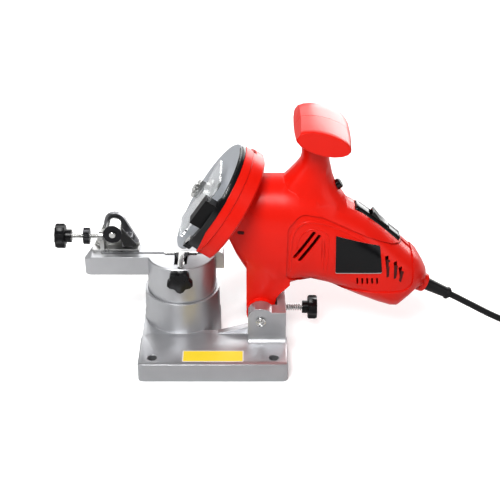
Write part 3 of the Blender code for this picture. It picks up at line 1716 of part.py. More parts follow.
def wheel_guard():
    outer = GUARD_RADIUS
    lip = GUARD_RADIUS + GUARD_LIP
    inner = GUARD_RADIUS - GUARD_WALL
    bore = FRONT_BEARING_RADIUS * 0.7
    lip_end = GUARD_SETBACK + GUARD_LIP_LENGTH
    profile = [
        (outer - GUARD_WALL, GUARD_BACK),
        (outer, GUARD_BACK - GUARD_WALL),
        (outer, lip_end + GUARD_LIP),
        (lip, lip_end),
        (lip, GUARD_SETBACK),
        (inner, GUARD_SETBACK),
        (inner, GUARD_BACK - GUARD_BACK_WALL),
        (bore, GUARD_BACK - GUARD_BACK_WALL),
        (bore, GUARD_BACK),
    ]
    drum = turned("wheel_guard", profile, wheel_frame(), 48, closed=True)
    hole = cylinder(
        "guard screw hole",
        GUARD_SCREW_CORE + GAP,
        GUARD_BACK - GUARD_BACK_WALL - OVERRUN,
        GUARD_BACK + OVERRUN,
        guard_screw_frame(),
    )
    return cut(drum, *guard_cutters(wheel_frame()), hole, solver="MANIFOLD")


def guard_screw_frame():
    """The screw that holds the guard to the housing, beside the wheel's flange."""
    return wheel_frame() @ Matrix.Translation((GUARD_SCREW_RISE, GUARD_SCREW_SIDE, 0))


def guard_screw():
    seat = GUARD_BACK - GUARD_BACK_WALL - GAP
    head = GUARD_SCREW_RADIUS / 2
    end = GUARD_BACK + SHELL_WALL
    profile = [
        (0, end),
        (GUARD_SCREW_CORE, end),
        (GUARD_SCREW_CORE, seat),
        (GUARD_SCREW_RADIUS, seat),
        (GUARD_SCREW_RADIUS, seat - head / 2),
        (GUARD_SCREW_RADIUS - head / 2, seat - head),
        (0, seat - head),
    ]
    return turned("guard_screw", profile, guard_screw_frame(), SMALL_SIDES)


def arc_outline(inner, outer, start, end, steps=14):
    """A strip of a ring between two angles."""
    angles = [start + (end - start) * k / steps for k in range(steps + 1)]
    out = [(outer * math.cos(angle), outer * math.sin(angle)) for angle in angles]
    back = [(inner * math.cos(angle), inner * math.sin(angle)) for angle in reversed(angles)]
    return out + back


def shield_bracket():
    """A strip on the guard's near rim, with the block that holds the clear shield."""
    top = SHIELD_BLOCK_RISE + SHIELD_BLOCK_LENGTH
    near = GUARD_RADIUS - GUARD_LIP
    clear_of_wheel = WHEEL_RADIUS + RUN_GAP
    frame = wheel_frame()
    strip_front = -RUN_GAP - SHIELD_STRIP_THICKNESS
    strip = prism(
        "shield_bracket",
        [
            arc_outline(
                GUARD_RADIUS - SHIELD_STRIP_WIDTH,
                GUARD_RADIUS,
                SHIELD_STRIP_START,
                SHIELD_STRIP_END,
            )
        ],
        strip_front,
        -RUN_GAP,
        frame,
    )
    foot = prism(
        "foot",
        [arc_outline(clear_of_wheel, GUARD_RADIUS - SHY, SHIELD_STRIP_START, math.pi / 2)],
        -2 * RUN_GAP,
        GUARD_SETBACK - GAP,
        frame,
    )
    block = box(
        "block",
        (SHIELD_BLOCK_RISE, near - SHIELD_BLOCK_WIDTH, GUARD_SETBACK - SHIELD_BLOCK_FORWARD),
        (top, near - SHY, strip_front + SHIELD_STRIP_THICKNESS / 2),
        frame,
    )
    slot = box(
        "shield slot",
        (SHIELD_BLOCK_RISE - OVERRUN, 0, shield_front() - GAP),
        (
            top + OVERRUN,
            near - SHIELD_BLOCK_WIDTH / 3,
            shield_front() + SHIELD_THICKNESS + GAP,
        ),
        frame,
    )
    return cut(joined(strip, foot, block, solver="MANIFOLD"), slot, solver="MANIFOLD")


def shield_front():
    return GUARD_SETBACK - SHIELD_BLOCK_FORWARD + SHIELD_THICKNESS


def clear_shield():
    near = GUARD_RADIUS - GUARD_LIP - SHIELD_BLOCK_WIDTH / 3 - GAP
    outline = rounded(
        [
            (-SHIELD_BOTTOM, near, SHIELD_CORNER),
            (-SHIELD_BOTTOM, SHIELD_FAR_EDGE, SHIELD_CORNER / 2),
            (SHIELD_FAR_EDGE, SHIELD_FAR_EDGE, 0),
            (SHIELD_TOP, SHIELD_FAR_TOP, SHIELD_CORNER / 4),
            (SHIELD_TOP, near, SHIELD_CORNER),
        ]
    )
    return prism(
        "clear_shield",
        [outline],
        shield_front(),
        shield_front() + SHIELD_THICKNESS,
        wheel_frame(),
    )


# Housing


def body_ring(station, inset=0.0):
    """One cross section of the body: a round crest, fuller sides and keel."""
    along, crest, keel, width = station
    x = BODY_START + along * BODY_LENGTH
    top = BODY_BOTTOM + crest * BODY_HEIGHT - inset
    bottom = BODY_BOTTOM + keel * BODY_HEIGHT + inset
    half = width * BODY_HALF_WIDTH - inset
    middle = (top + bottom) / 2
    rise = (top - bottom) / 2
    ring = []
    for k in range(RING_POINTS):
        angle = 2 * math.pi * k / RING_POINTS
        across = math.cos(angle)
        up = math.sin(angle)
        power = CREST_POWER if up >= 0 else KEEL_POWER
        roundness = CREST_ROUNDNESS if up >= 0 else KEEL_ROUNDNESS
        height = abs(up) ** (2 / power)
        reach = abs(across) ** (2 / roundness)
        ring.append(
            (
                x,
                TABLE_Y + math.copysign(half * reach, across),
                middle + math.copysign(rise * height, up),
            )
        )
    return ring


def body_place(along, up):
    """X and Z of a place given as shares of the body's length and height."""
    return BODY_START + along * BODY_LENGTH, BODY_BOTTOM + up * BODY_HEIGHT


def crest_height(x):
    """Height of the body's crest at a place along it."""
    share = (x - BODY_START) / BODY_LENGTH
    for low, high in zip(BODY_STATION_SHARES, BODY_STATION_SHARES[1:]):
        if low[0] <= share <= high[0]:
            part = (share - low[0]) / (high[0] - low[0])
            return BODY_BOTTOM + (low[1] + (high[1] - low[1]) * part) * BODY_HEIGHT
    return BODY_BOTTOM + BODY_STATION_SHARES[-1][1] * BODY_HEIGHT


def ridge_frame(x):
    """Local X down the ridge, local Z square to it and out."""
    step = OVERRUN
    ahead = Vector((x + step, TABLE_Y, crest_height(x + step)))
    behind = Vector((x - step, TABLE_Y, crest_height(x - step)))
    way = (ahead - behind).normalized()
    out = way.cross(Vector((0, 1, 0)))
    if out.z < 0:
        out = -out
    rotation = Matrix((way, out.cross(way), out)).transposed().to_4x4()
    return Matrix.Translation((ahead + behind) / 2) @ rotation


def body_solid():
    rings = [body_ring(station) for station in BODY_STATION_SHARES]
    return loft("housing", rings)


def post_solid():
    rings = []
    for height, left, right, width in POST_STATION_SHARES:
        x0 = POST_LEFT + left * POST_WIDTH
        x1 = POST_LEFT + right * POST_WIDTH
        ring = []
        for k in range(POST_POINTS):
            angle = 2 * math.pi * k / POST_POINTS
            across = math.copysign(abs(math.cos(angle)) ** 0.85, math.cos(angle))
            aside = math.copysign(abs(math.sin(angle)) ** 0.85, math.sin(angle))
            ring.append(
                (
                    (x0 + x1) / 2 + (x1 - x0) / 2 * across,
                    TABLE_Y + POST_HALF * width * aside,
                    POST_BOTTOM + height * POST_HEIGHT,
                )
            )
        rings.append(ring)
    return loft("post", rings)


def grip_solid():
    rings = []
    for along, share in GRIP_STATION_SHARES:
        ring = []
        for k in range(GRIP_POINTS):
            angle = 2 * math.pi * k / GRIP_POINTS
            long = GRIP_SEMI_LONG * share * math.cos(angle)
            short = GRIP_SEMI_SHORT * share * math.sin(angle)
            ring.append(
                (
                    GRIP_X + long * math.cos(GRIP_TILT) + short * math.sin(GRIP_TILT),
                    TABLE_Y + along * GRIP_LENGTH,
                    GRIP_Z - long * math.sin(GRIP_TILT) + short * math.cos(GRIP_TILT),
                )
            )
        rings.append(ring)
    return loft("grip", rings)


def leg_solids():
    """The leg, its barrel round the pin and its toe against the depth stop."""
    right = HINGE_X + BARREL_RADIUS
    top = BODY_BOTTOM + BODY_HEIGHT / 2
    outline = rounded(
        [
            (LEG_LEFT, HINGE_Z, 0),
            (right, HINGE_Z, 0),
            (right, HINGE_Z + BARREL_RADIUS, BARREL_RADIUS),
            (right + BARREL_RADIUS, BODY_BOTTOM + BODY_HEIGHT / 4, 0),
            (right + BARREL_RADIUS, top, 0),
            (LEG_LEFT, top, 0),
        ]
    )
    leg = prism(
        "leg", [outline], -LEG_HALF, LEG_HALF, side_view_frame(TABLE_Y)
    )
    barrel = cylinder(
        "barrel",
        BARREL_RADIUS,
        -LEG_SPAN / 2,
        LEG_SPAN / 2,
        along_y(HINGE_X, TABLE_Y, HINGE_Z),
        32,
    )
    toe = box(
        "toe",
        (TOE_LEFT, TABLE_Y - LEG_HALF / 2, LEG_TOE),
        (TOE_RIGHT, TABLE_Y + LEG_HALF / 2, HINGE_Z),
    )
    return leg, barrel, toe


def motor_cavity():
    """The motor's room: bearing seats at both ends, the stator's bore between."""
    front = GUARD_BACK
    hole = FLANGE_RADIUS * 0.7 + RUN_GAP
    profile = [
        (0, SHAFT_END + RUN_GAP),
        (REAR_BEARING_RADIUS + GAP, SHAFT_END + RUN_GAP),
        (REAR_BEARING_RADIUS + GAP, MOTOR_END),
        (MOTOR_RADIUS + GAP, MOTOR_END),
        (MOTOR_RADIUS + GAP, MOTOR_START),
        (FRONT_BEARING_RADIUS + GAP, MOTOR_START),
        (FRONT_BEARING_RADIUS + GAP, FRONT_BEARING_START - GAP),
        (hole, FRONT_BEARING_START - GAP),
        (hole, front - OVERRUN),
        (0, front - OVERRUN),
    ]
    return turned("motor room", profile, wheel_frame(), 28)


def wiring_cavity():
    """The room behind the motor, which the vents open into."""
    first = 9
    last = -5
    stations = BODY_STATION_SHARES[first:last]
    rings = [body_ring(station, SHELL_WALL) for station in stations]
    return loft("wiring room", rings)


def panel_cutter(side):
    """The shallow arched recess in a half's outer face, as deep all over."""
    corners = [(*body_place(*shares), PANEL_ROUND) for shares in PANEL_CORNER_SHARES]
    frame = side_view_frame(TABLE_Y)
    reach = BODY_HALF_WIDTH + OVERRUN
    low, high = (GAP, reach) if side > 0 else (-reach, -GAP)
    tool = prism("panel", [rounded(corners)], low, high, frame)
    core = loft("core", [body_ring(station, PANEL_DEPTH) for station in BODY_STATION_SHARES])
    return cut(tool, core)


def groove_cutters(side):
    """Two upright lines in the panel, beside the cooling slots."""
    columns, (low_share, high_share) = GROOVE_SHARES
    deep = PANEL_DEPTH + GROOVE_DEPTH
    tools = []
    for column in columns:
        x, bottom = body_place(column, low_share)
        top = body_place(column, high_share)[1]
        near = TABLE_Y - side * (BODY_HALF_WIDTH - deep)
        far = near - side * OVERRUN
        low = (x - GROOVE_WIDTH / 2, min(near, far), bottom)
        high = (x + GROOVE_WIDTH / 2, max(near, far), top)
        tools.append(box("groove", low, high))
    return tools


def wedge_outline(length, wide, narrow):
    """A slot along local X that narrows towards its start."""
    half = length / 2
    return [(-half, -narrow / 2), (half, -wide / 2), (half, wide / 2), (-half, narrow / 2)]


def vent_cutters(side):
    face = TABLE_Y - side * BODY_HALF_WIDTH
    deep = 2 * SHELL_WALL + PANEL_DEPTH + OVERRUN
    low, high = (-deep, OVERRUN) if side > 0 else (-OVERRUN, deep)
    flat = side_view_frame(face)
    tools = []
    x, z = body_place(*COOLING_SLOT_SHARES)
    first = flat @ Matrix.Translation((x, z, 0)) @ Matrix.Rotation(WHEEL_SLOPE, 4, "Z")
    for k in range(2):
        frame = first @ Matrix.Translation((0, -k * COOLING_SLOT_STEP, 0))
        outline = slot_outline(COOLING_SLOT_LENGTH, 2 * SLOT_HALF)
        tools.append(prism("cooling slot", [outline], low, high, frame))
    upright = Matrix.Rotation(math.pi / 2 + LOUVRE_LEAN, 4, "Z")
    for along, up, length in LOUVRE_SHARES:
        x, z = body_place(along, up)
        outline = wedge_outline(length * LOUVRE_LENGTH, 2 * SLOT_HALF, SLOT_HALF)
        frame = flat @ Matrix.Translation((x, z, 0)) @ upright
        tools.append(prism("louvre", [outline], low, high, frame))
    x, z = body_place(*GRILLE_SHARES)
    for k in range(GRILLE_COUNT):
        frame = flat @ Matrix.Translation((x + k * GRILLE_STEP, z, 0)) @ upright
        outline = wedge_outline(GRILLE_LENGTH, SLOT_HALF, SLOT_HALF)
        tools.append(prism("grille slot", [outline], low, high, frame))
    return tools


def switch_frame_cut():
    half = SWITCH_LENGTH / 2 + GAP
    width = SWITCH_WIDTH / 2 + GAP
    return box(
        "switch opening",
        (-half, -width, -SWITCH_DEPTH),
        (half, width, 2 * OVERRUN),
        ridge_frame(SWITCH_X),
    )


def lock_frame():
    """Local Z runs out of the post's root, where the lock button comes through."""
    way = Vector((math.cos(LOCK_TILT), 0, math.sin(LOCK_TILT)))
    return frame_along(way, (LOCK_X, TABLE_Y, POST_BOTTOM + LOCK_RISE))


def relief_frame():
    x, z = body_place(*RELIEF_SHARES)
    return frame_along(RELIEF_WAY, (x, TABLE_Y, z))


def housing_body():
    """Both halves in one, with every opening that the seam runs through."""
    solid = body_solid()
    solid = joined(solid, post_solid(), grip_solid(), *leg_solids())
    reach = BODY_LENGTH
    front_cut = box(
        "front cut",
        (-reach, -reach, -reach),
        (reach, reach, GUARD_BACK + GAP),
        wheel_frame(),
    )
    hinge = along_y(HINGE_X, TABLE_Y, HINGE_Z)
    half_span = BODY_HALF_WIDTH + OVERRUN
    pin_bore = cylinder("leg bore", PIN_RADIUS + GAP, -half_span, half_span, hinge)
    half_pocket = SPRING_POCKET_LENGTH / 2
    spring_pocket = cylinder("spring pocket", SPRING_POCKET, -half_pocket, half_pocket, hinge, 24)
    relief_seat = cylinder(
        "relief seat", RELIEF_ROOT + GAP, -RELIEF_SEAT - GAP, 4 * OVERRUN, relief_frame()
    )
    relief_face = cylinder(
        "relief face", RELIEF_FLANGE + 2 * GAP, -GAP, 4 * OVERRUN, relief_frame()
    )
    lock_bore = cylinder(
        "lock bore", LOCK_RADIUS + GAP, -LOCK_DEPTH - LOCK_TRAVEL - GAP, 4 * OVERRUN, lock_frame()
    )
    guard_bore = cylinder(
        "guard screw bore",
        GUARD_SCREW_CORE + GAP,
        GUARD_BACK - OVERRUN,
        GUARD_BACK + SHELL_WALL + GAP,
        guard_screw_frame(),
    )
    solid = cut(solid, front_cut, lock_bore, switch_frame_cut(), relief_seat, relief_face)
    solid = cut(solid, pin_bore, spring_pocket, guard_bore)
    solid = cut(solid, *screw_holes())
    solid = cut(solid, panel_cutter(1), panel_cutter(-1), solver="MANIFOLD")
    solid = cut(solid, *groove_cutters(1), *groove_cutters(-1), solver="MANIFOLD")
    solid = cut(solid, motor_cavity(), wiring_cavity())
    return cut(solid, *vent_cutters(1), *vent_cutters(-1), solver="MANIFOLD")


def housing_halves():
    """The operator's half is side +1, the far half is side -1."""
    whole = housing_body()
    reach = BODY_LENGTH
    seam = SEAM_GAP / 2
    halves = []
    for name, side in (("housing_front", 1), ("housing_rear", -1)):
        half = whole.copy()
        half.data = whole.data.copy()
        Shapes.parts.objects.link(half)
        half.name = name
        if side > 0:
            other = box("far half", (-reach, TABLE_Y - seam, -reach), (2 * reach, reach, 2 * reach))
        else:
            other = box("near half", (-reach, -reach, -reach), (2 * reach, TABLE_Y + seam, 2 * reach))
        halves.append(cut(half, other, solver="MANIFOLD"))
    bpy.data.objects.remove(whole, do_unlink=True)
    return halves


def screw_holes():
    tools = []
    face = TABLE_Y + BODY_HALF_WIDTH
    for shares in HOUSING_SCREW_SHARES:
        x, z = body_place(*shares)
        frame = along_y(x, face, z)
        tools.append(
            cylinder(
                "screw head pocket",
                HOUSING_SCREW_RADIUS + GAP,
                -HOUSING_SCREW_LENGTH / 3,
                OVERRUN,
                frame,
            )
        )
        tools.append(
            cylinder(
                "screw bore",
                SCREW_CORE_RADIUS + GAP,
                -HOUSING_SCREW_LENGTH - GAP,
                OVERRUN,
                frame,
                12,
            )
        )
    return tools


def housing_screw(name, x, z):
    frame = along_y(x, TABLE_Y + BODY_HALF_WIDTH, z)
    seat = -HOUSING_SCREW_LENGTH / 3 + GAP
    profile = [
        (0, seat + HOUSING_SCREW_HEAD),
        (HOUSING_SCREW_RADIUS - HOUSING_SCREW_HEAD / 2, seat + HOUSING_SCREW_HEAD),
        (HOUSING_SCREW_RADIUS, seat + HOUSING_SCREW_HEAD / 2),
        (HOUSING_SCREW_RADIUS, seat),
        (SCREW_CORE_RADIUS, seat),
        (SCREW_CORE_RADIUS, -HOUSING_SCREW_LENGTH),
        (0, -HOUSING_SCREW_LENGTH),
    ]
    return turned(name, profile, frame, SMALL_SIDES)


# Switch, lock button, strain relief


def switch_frame():
    half = SWITCH_LENGTH / 2
    width = SWITCH_WIDTH / 2
    outer = rounded_rectangle(-half, -width, half, width, SWITCH_CORNER)
    hole_half = ROCKER_LENGTH / 2 + GAP
    hole_width = ROCKER_WIDTH / 2 + GAP
    hole = [
        (-hole_half, -hole_width),
        (hole_half, -hole_width),
        (hole_half, hole_width),
        (-hole_half, hole_width),
    ]
    return prism(
        "switch_frame",
        [outer, hole],
        -SWITCH_DEPTH + GAP,
        SWITCH_PROUD,
        ridge_frame(SWITCH_X),
    )


def rocker_axis():
    """Local Z of the rocker's frame is its pivot, across the switch."""
    frame = ridge_frame(SWITCH_X)
    spin = Matrix(((1, 0, 0, 0), (0, 0, 1, 0), (0, -1, 0, 0), (0, 0, 0, 1)))
    drop = Matrix.Translation((0, 0, -SWITCH_DEPTH / 2))
    return frame @ drop @ spin


def switch_rocker():
    """A rocker with a hollow back: two wings that meet at a shallow valley."""
    half = ROCKER_LENGTH / 2 - GAP
    top = SWITCH_DEPTH / 2 + SWITCH_PROUD
    valley = top + ROCKER_PROUD / 6
    outline = [
        (-half * 0.72, -SWITCH_DEPTH / 4),
        (half * 0.72, -SWITCH_DEPTH / 4),
        (half * 0.86, top + ROCKER_PROUD / 6),
        (0, valley),
        (-half * 0.80, top + ROCKER_PROUD),
        (-half * 0.90, top + ROCKER_PROUD * 0.7),
    ]
    frame = ridge_frame(SWITCH_X) @ Matrix.Translation((0, 0, -SWITCH_DEPTH / 2))
    upright = frame @ Matrix(((1, 0, 0, 0), (0, 0, -1, 0), (0, 1, 0, 0), (0, 0, 0, 1)))
    width = ROCKER_WIDTH / 2 - GAP
    return prism("switch_rocker", [outline], -width, width, upright)


def lock_button():
    edge = LOCK_PROUD / 4
    profile = [
        (0, LOCK_PROUD),
        (LOCK_RADIUS - edge, LOCK_PROUD),
        (LOCK_RADIUS, LOCK_PROUD - edge),
        (LOCK_RADIUS, -LOCK_DEPTH),
        (0, -LOCK_DEPTH),
    ]
    return turned("lock_button", profile, lock_frame(), SMALL_SIDES)


def strain_relief():
    """A tapered sleeve with shallow rings, seated in the housing's rear end."""
    length = RELIEF_LENGTH
    taper = RELIEF_ROOT - RELIEF_END
    profile = [(RELIEF_END, length)]
    for k in range(RELIEF_RINGS):
        for share, dip in ((0.20, 0), (0.24, 1), (0.38, 1), (0.42, 0)):
            along = length * (1 - share - k * 0.24)
            radius = RELIEF_END + taper * (1 - along / length)
            profile.append((radius - dip * RELIEF_RING_DEPTH, along))
    profile += [
        (RELIEF_ROOT - taper * RELIEF_FLANGE_LENGTH / length, RELIEF_FLANGE_LENGTH),
        (RELIEF_FLANGE, RELIEF_FLANGE_LENGTH),
        (RELIEF_FLANGE, 0),
        (RELIEF_ROOT, 0),
        (RELIEF_ROOT, -RELIEF_SEAT),
        (0, -RELIEF_SEAT),
    ]
    return turned("strain_relief", [(0, length), *profile], relief_frame(), 14)


# Cord


def cord_path():
    """The free cord's points: square out of the sleeve, along its route, square into the coil."""
    start = relief_frame() @ Vector((0, 0, RELIEF_LENGTH + GAP))
    straight = start + RELIEF_WAY * 2 * CORD_RADIUS
    end = coil_points()[0] - Vector((GAP, 0, 0))
    before_end = end - Vector((2 * CORD_RADIUS, 0, 0))
    middle = smooth_route([straight, *CORD_ROUTE, before_end], CORD_POINT_STEP)
    return [start, *middle, end]


def coil_points():
    """Loops in two layers: the lower spirals in, the upper spirals out over it."""
    turns_in_layer = COIL_TURNS / COIL_LAYERS
    count = COIL_TURNS * COIL_LOOP_POINTS
    points = []
    for k in range(count + 1):
        turn = k / COIL_LOOP_POINTS
        layer = min(int(turn / turns_in_layer), COIL_LAYERS - 1)
        inward = turn - layer * turns_in_layer
        if layer % 2:
            inward = turns_in_layer - inward
        radius = COIL_RADIUS - COIL_PITCH * inward
        climb = min(max(2 * (turn - turns_in_layer) + 0.5, 0.0), 1.0)
        angle = 2 * math.pi * turn - math.pi / 2
        points.append(
            Vector(
                (
                    COIL_X + radius * math.cos(angle),
                    COIL_Y + radius * math.sin(angle),
                    COIL_FLOOR + COIL_PITCH * climb,
                )
            )
        )
    straight = 2 * CORD_RADIUS
    lead_in = points[0] - Vector((straight, 0, 0))
    lead_out = points[-1] + Vector((COIL_LEAD, 0, 0))
    return [lead_in, *points, lead_out]


def print_coil_gap(points):
    """Least gap of the coil's tube to itself, from point to point of unlike turns."""
    least = None
    skip = COIL_LOOP_POINTS // 2
    for i, p in enumerate(points):
        for q in points[i + skip :]:
            gap = (p - q).length - 2 * CORD_RADIUS
            least = gap if least is None else min(least, gap)
    length = sum((q - p).length for p, q in zip(points, points[1:]))
    print(f"coil: least gap to itself {least * 1000:.2f} mm, length {length:.3f} m")


def cord_tie():
    """A strap round all turns of the coil."""
    inner = COIL_INNER - CORD_RADIUS - 2 * GAP
    outer = COIL_RADIUS + CORD_RADIUS + 2 * GAP
    low = TIE_THICKNESS
    high = COIL_FLOOR + COIL_PITCH + CORD_RADIUS + GAP
    corner = CORD_RADIUS
    hole = rounded_rectangle(inner, low, outer, high, corner)
    strap = rounded_rectangle(
        inner - TIE_THICKNESS, 0, outer + TIE_THICKNESS, high + TIE_THICKNESS, corner + TIE_THICKNESS
    )
    turn = Matrix.Rotation(TIE_ANGLE, 4, "Z")
    stand = Matrix(((1, 0, 0, 0), (0, 0, -1, 0), (0, 1, 0, 0), (0, 0, 0, 1)))
    frame = Matrix.Translation((COIL_X, COIL_Y, 0)) @ turn @ stand
    return prism("cord_tie", [strap, hole], -TIE_WIDTH / 2, TIE_WIDTH / 2, frame)


def plug():
    """A moulded two-pin plug that lies flat on the bench."""
    end = coil_points()[-1]
    half_height = end.z
    boot = CORD_RADIUS * 1.5
    stations = (
        (0.0, boot, boot, 2.0),
        (PLUG_BOOT, boot * 1.3, boot * 1.3, 2.0),
        (PLUG_BOOT + PLUG_BODY * 0.12, PLUG_HALF_WIDTH * 0.62, half_height * 0.75, 2.6),
        (PLUG_BOOT + PLUG_BODY * 0.35, PLUG_HALF_WIDTH * 0.82, half_height * 0.94, 3.0),
        (PLUG_BOOT + PLUG_BODY * 0.60, PLUG_HALF_WIDTH * 0.90, half_height, 3.2),
        (PLUG_BOOT + PLUG_BODY * 0.95, PLUG_HALF_WIDTH, half_height, 3.2),
        (PLUG_BOOT + PLUG_BODY, PLUG_HALF_WIDTH * 0.96, half_height * 0.95, 3.2),
    )
    rings = []
    for along, wide, high, power in stations:
        ring = []
        for k in range(PLUG_POINTS):
            angle = 2 * math.pi * k / PLUG_POINTS
            c, s = math.cos(angle), math.sin(angle)
            ring.append(
                (
                    end.x + GAP + along,
                    end.y + math.copysign(wide * abs(c) ** (2 / power), c),
                    end.z + math.copysign(high * abs(s) ** (2 / power), s),
                )
            )
        rings.append(ring)
    body = loft("plug", rings)
    pins = []
    for side in (-1, 1):
        face = end.x + GAP + PLUG_BOOT + PLUG_BODY - OVERRUN
        frame = along_x(face, end.y + side * PLUG_PIN_SPACING / 2, end.z)
        round_end = PLUG_PIN_RADIUS * 0.6
        length = PLUG_PIN_LENGTH + OVERRUN
        profile = [
            (0, length),
            (PLUG_PIN_RADIUS - round_end, length),
            (PLUG_PIN_RADIUS, length - round_end),
            (PLUG_PIN_RADIUS, 0),
            (0, 0),
        ]
        pins.append(turned("plug pin", profile, frame, 14))
    return joined(body, *pins)


def build():
    clear_scene()
    Shapes.parts = collection_named("chainsaw sharpener")
    Shapes.cutters = collection_named("cutters")

    finished(base_casting(), "cast silver")
    finished(hinge_pin(), "zinc steel")
    finished(pin_circlip(), "blackened steel")
    finished(return_spring(), "spring steel")
    finished(depth_spring(), "spring steel")
    depth = joint_empty("depth stop axis", along_x(EAR_RIGHT, TABLE_Y, DEPTH_Z))
    finished(depth_screw(), "blackened steel", depth)
    finished(depth_knob(), "black plastic", depth)

    swivel = joint_empty("swivel axis", upright_at(TABLE_X, TABLE_Y, TABLE_TOP))
    finished(turntable(), "turntable silver", swivel)
    finished(swivel_bolt(), "zinc steel", swivel)
    finished(lock_washer(), "zinc steel", swivel)
    finished(swivel_lock_nut(), "zinc steel", swivel)
    clamp = joint_empty("clamp axis", clamp_frame(), swivel)
    finished(clamp_collar(), "zinc steel", swivel)
    finished(clamp_plate(), "zinc steel", clamp)
    finished(clamp_screw(), "zinc steel", clamp)
    finished(clamp_knob(), "black plastic", clamp)
    finished(stop_bracket(), "plated bracket", swivel)
    finished(stop_pin(), "zinc steel", swivel)
    finished(stop_washer(), "blackened steel", swivel)
    finished(pawl_spool(), "zinc steel", swivel)
    finished(pawl_spring(), "spring steel", swivel)
    pawl_axis = joint_empty("pawl axis", along_y(STOP_PIN_X, PAWL_FRONT, STOP_PIN_Z), swivel)
    finished(pawl(), "blackened steel", pawl_axis)
    stop_axis = joint_empty("stop screw axis", along_x(STOP_NUT_X, TABLE_Y, STOP_SCREW_Z), swivel)
    finished(stop_screw(), "zinc steel", stop_axis)
    finished(stop_knob(), "black plastic", stop_axis)
    finished(stop_lock_nut(), "blackened steel", stop_axis)

    head = joint_empty("hinge axis", along_y(HINGE_X, TABLE_Y, HINGE_Z))
    for half in housing_halves():
        finished(half, "housing red", head)
    finished(wheel_guard(), "housing red", head)
    finished(guard_screw(), "zinc steel", head)
    finished(shield_bracket(), "black plastic", head)
    finished(clear_shield(), "clear plastic", head)
    finished(switch_frame(), "switch black", head)
    finished(
        bearing(
            "front_bearing",
            FRONT_BEARING_RADIUS,
            SHAFT_RADIUS,
            FRONT_BEARING_START,
            FRONT_BEARING_WIDTH,
        ),
        "zinc steel",
        head,
    )
    finished(
        bearing(
            "rear_bearing",
            REAR_BEARING_RADIUS,
            SHAFT_RADIUS * 0.8,
            REAR_BEARING_START,
            REAR_BEARING_WIDTH,
        ),
        "zinc steel",
        head,
    )
    finished(stator(), "lamination steel", head)
    finished(brush("brush_left", 1), "carbon", head)
    finished(brush("brush_right", -1), "carbon", head)
    for number, shares in enumerate(HOUSING_SCREW_SHARES, 1):
        screw = housing_screw(f"housing_screw_{number}", *body_place(*shares))
        finished(screw, "zinc steel", head)
    finished(strain_relief(), "cord rubber", head)
    spindle = joint_empty("spindle axis", wheel_frame(), head)
    finished(grinding_wheel(), "grinding stone", spindle)
    finished(inner_flange(), "zinc steel", spindle)
    finished(outer_flange(), "zinc steel", spindle)
    finished(wheel_nut(), "zinc steel", spindle)
    finished(rotor_shaft(), "zinc steel", spindle)
    finished(rotor_core(), "lamination steel", spindle)
    finished(commutator(), "copper", spindle)
    finished(fan(), "black plastic", spindle)
    rocker = joint_empty("rocker axis", rocker_axis(), head)
    finished(switch_rocker(), "switch black", rocker)
    lock = joint_empty("lock axis", lock_frame(), head)
    finished(lock_button(), "switch black", lock)

    finished(tube("cord", cord_path(), CORD_RADIUS, roundness=3), "cord rubber")
    coil = coil_points()
    print_coil_gap(coil)
    finished(tube("cord_coil", coil, CORD_RADIUS, roundness=1), "cord rubber")
    finished(cord_tie(), "black plastic")
    finished(plug(), "cord rubber")


build()
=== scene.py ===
"""Looks of a bench chain sharpener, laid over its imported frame."""
import json
import logging
import math
from dataclasses import dataclass
from enum import Enum

import bmesh
import bpy
from mathutils import Matrix, Vector
from mathutils.bvhtree import BVHTree


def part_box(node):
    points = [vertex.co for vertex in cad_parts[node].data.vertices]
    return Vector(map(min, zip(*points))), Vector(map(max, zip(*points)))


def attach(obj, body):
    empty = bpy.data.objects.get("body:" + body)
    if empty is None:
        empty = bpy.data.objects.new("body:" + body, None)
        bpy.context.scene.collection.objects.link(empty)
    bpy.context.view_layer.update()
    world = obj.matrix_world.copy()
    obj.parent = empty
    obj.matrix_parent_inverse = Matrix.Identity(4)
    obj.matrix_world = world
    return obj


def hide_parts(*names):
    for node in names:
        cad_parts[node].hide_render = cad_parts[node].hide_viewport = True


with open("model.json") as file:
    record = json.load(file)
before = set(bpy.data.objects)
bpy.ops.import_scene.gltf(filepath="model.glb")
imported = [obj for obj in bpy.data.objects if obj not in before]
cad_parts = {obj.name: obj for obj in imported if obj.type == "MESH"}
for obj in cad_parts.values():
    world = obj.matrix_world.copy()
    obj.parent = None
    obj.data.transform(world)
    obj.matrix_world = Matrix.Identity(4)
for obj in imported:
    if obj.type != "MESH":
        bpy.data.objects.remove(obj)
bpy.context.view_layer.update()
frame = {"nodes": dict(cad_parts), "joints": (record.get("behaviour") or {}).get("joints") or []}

LOG = logging.getLogger("sharpener")

Point = tuple[float, float, float]
Line = tuple[tuple[float, float], ...]
Colour = tuple[float, float, float]
Node = bpy.types.Node
NodeTree = bpy.types.NodeTree
Material = bpy.types.Material
Thing = bpy.types.Object

RIGHT = Vector((1, 0, 0))
NEAR = Vector((0, -1, 0))
FAR = Vector((0, 1, 0))
UP = Vector((0, 0, 1))

# The sleeve that the cord leaves the housing through
SLEEVE_ROOT = Vector((0.1963, 0.0609, 0.0531))
SLEEVE_SLOPE = math.radians(27)
SLEEVE_WAY = Vector((math.cos(SLEEVE_SLOPE), 0, -math.sin(SLEEVE_SLOPE)))
SLEEVE_LENGTH = 0.0310


class Body(Enum):
    """The bodies of the model that pieces ride on."""

    BASE = "base"
    TABLE = "turntable"
    HEAD = "head"
    DEPTH_SCREW = "depth_screw"
    STOP_SCREW = "stop_screw"
    CLAMP_PLATE = "clamp_plate"


# Finishes


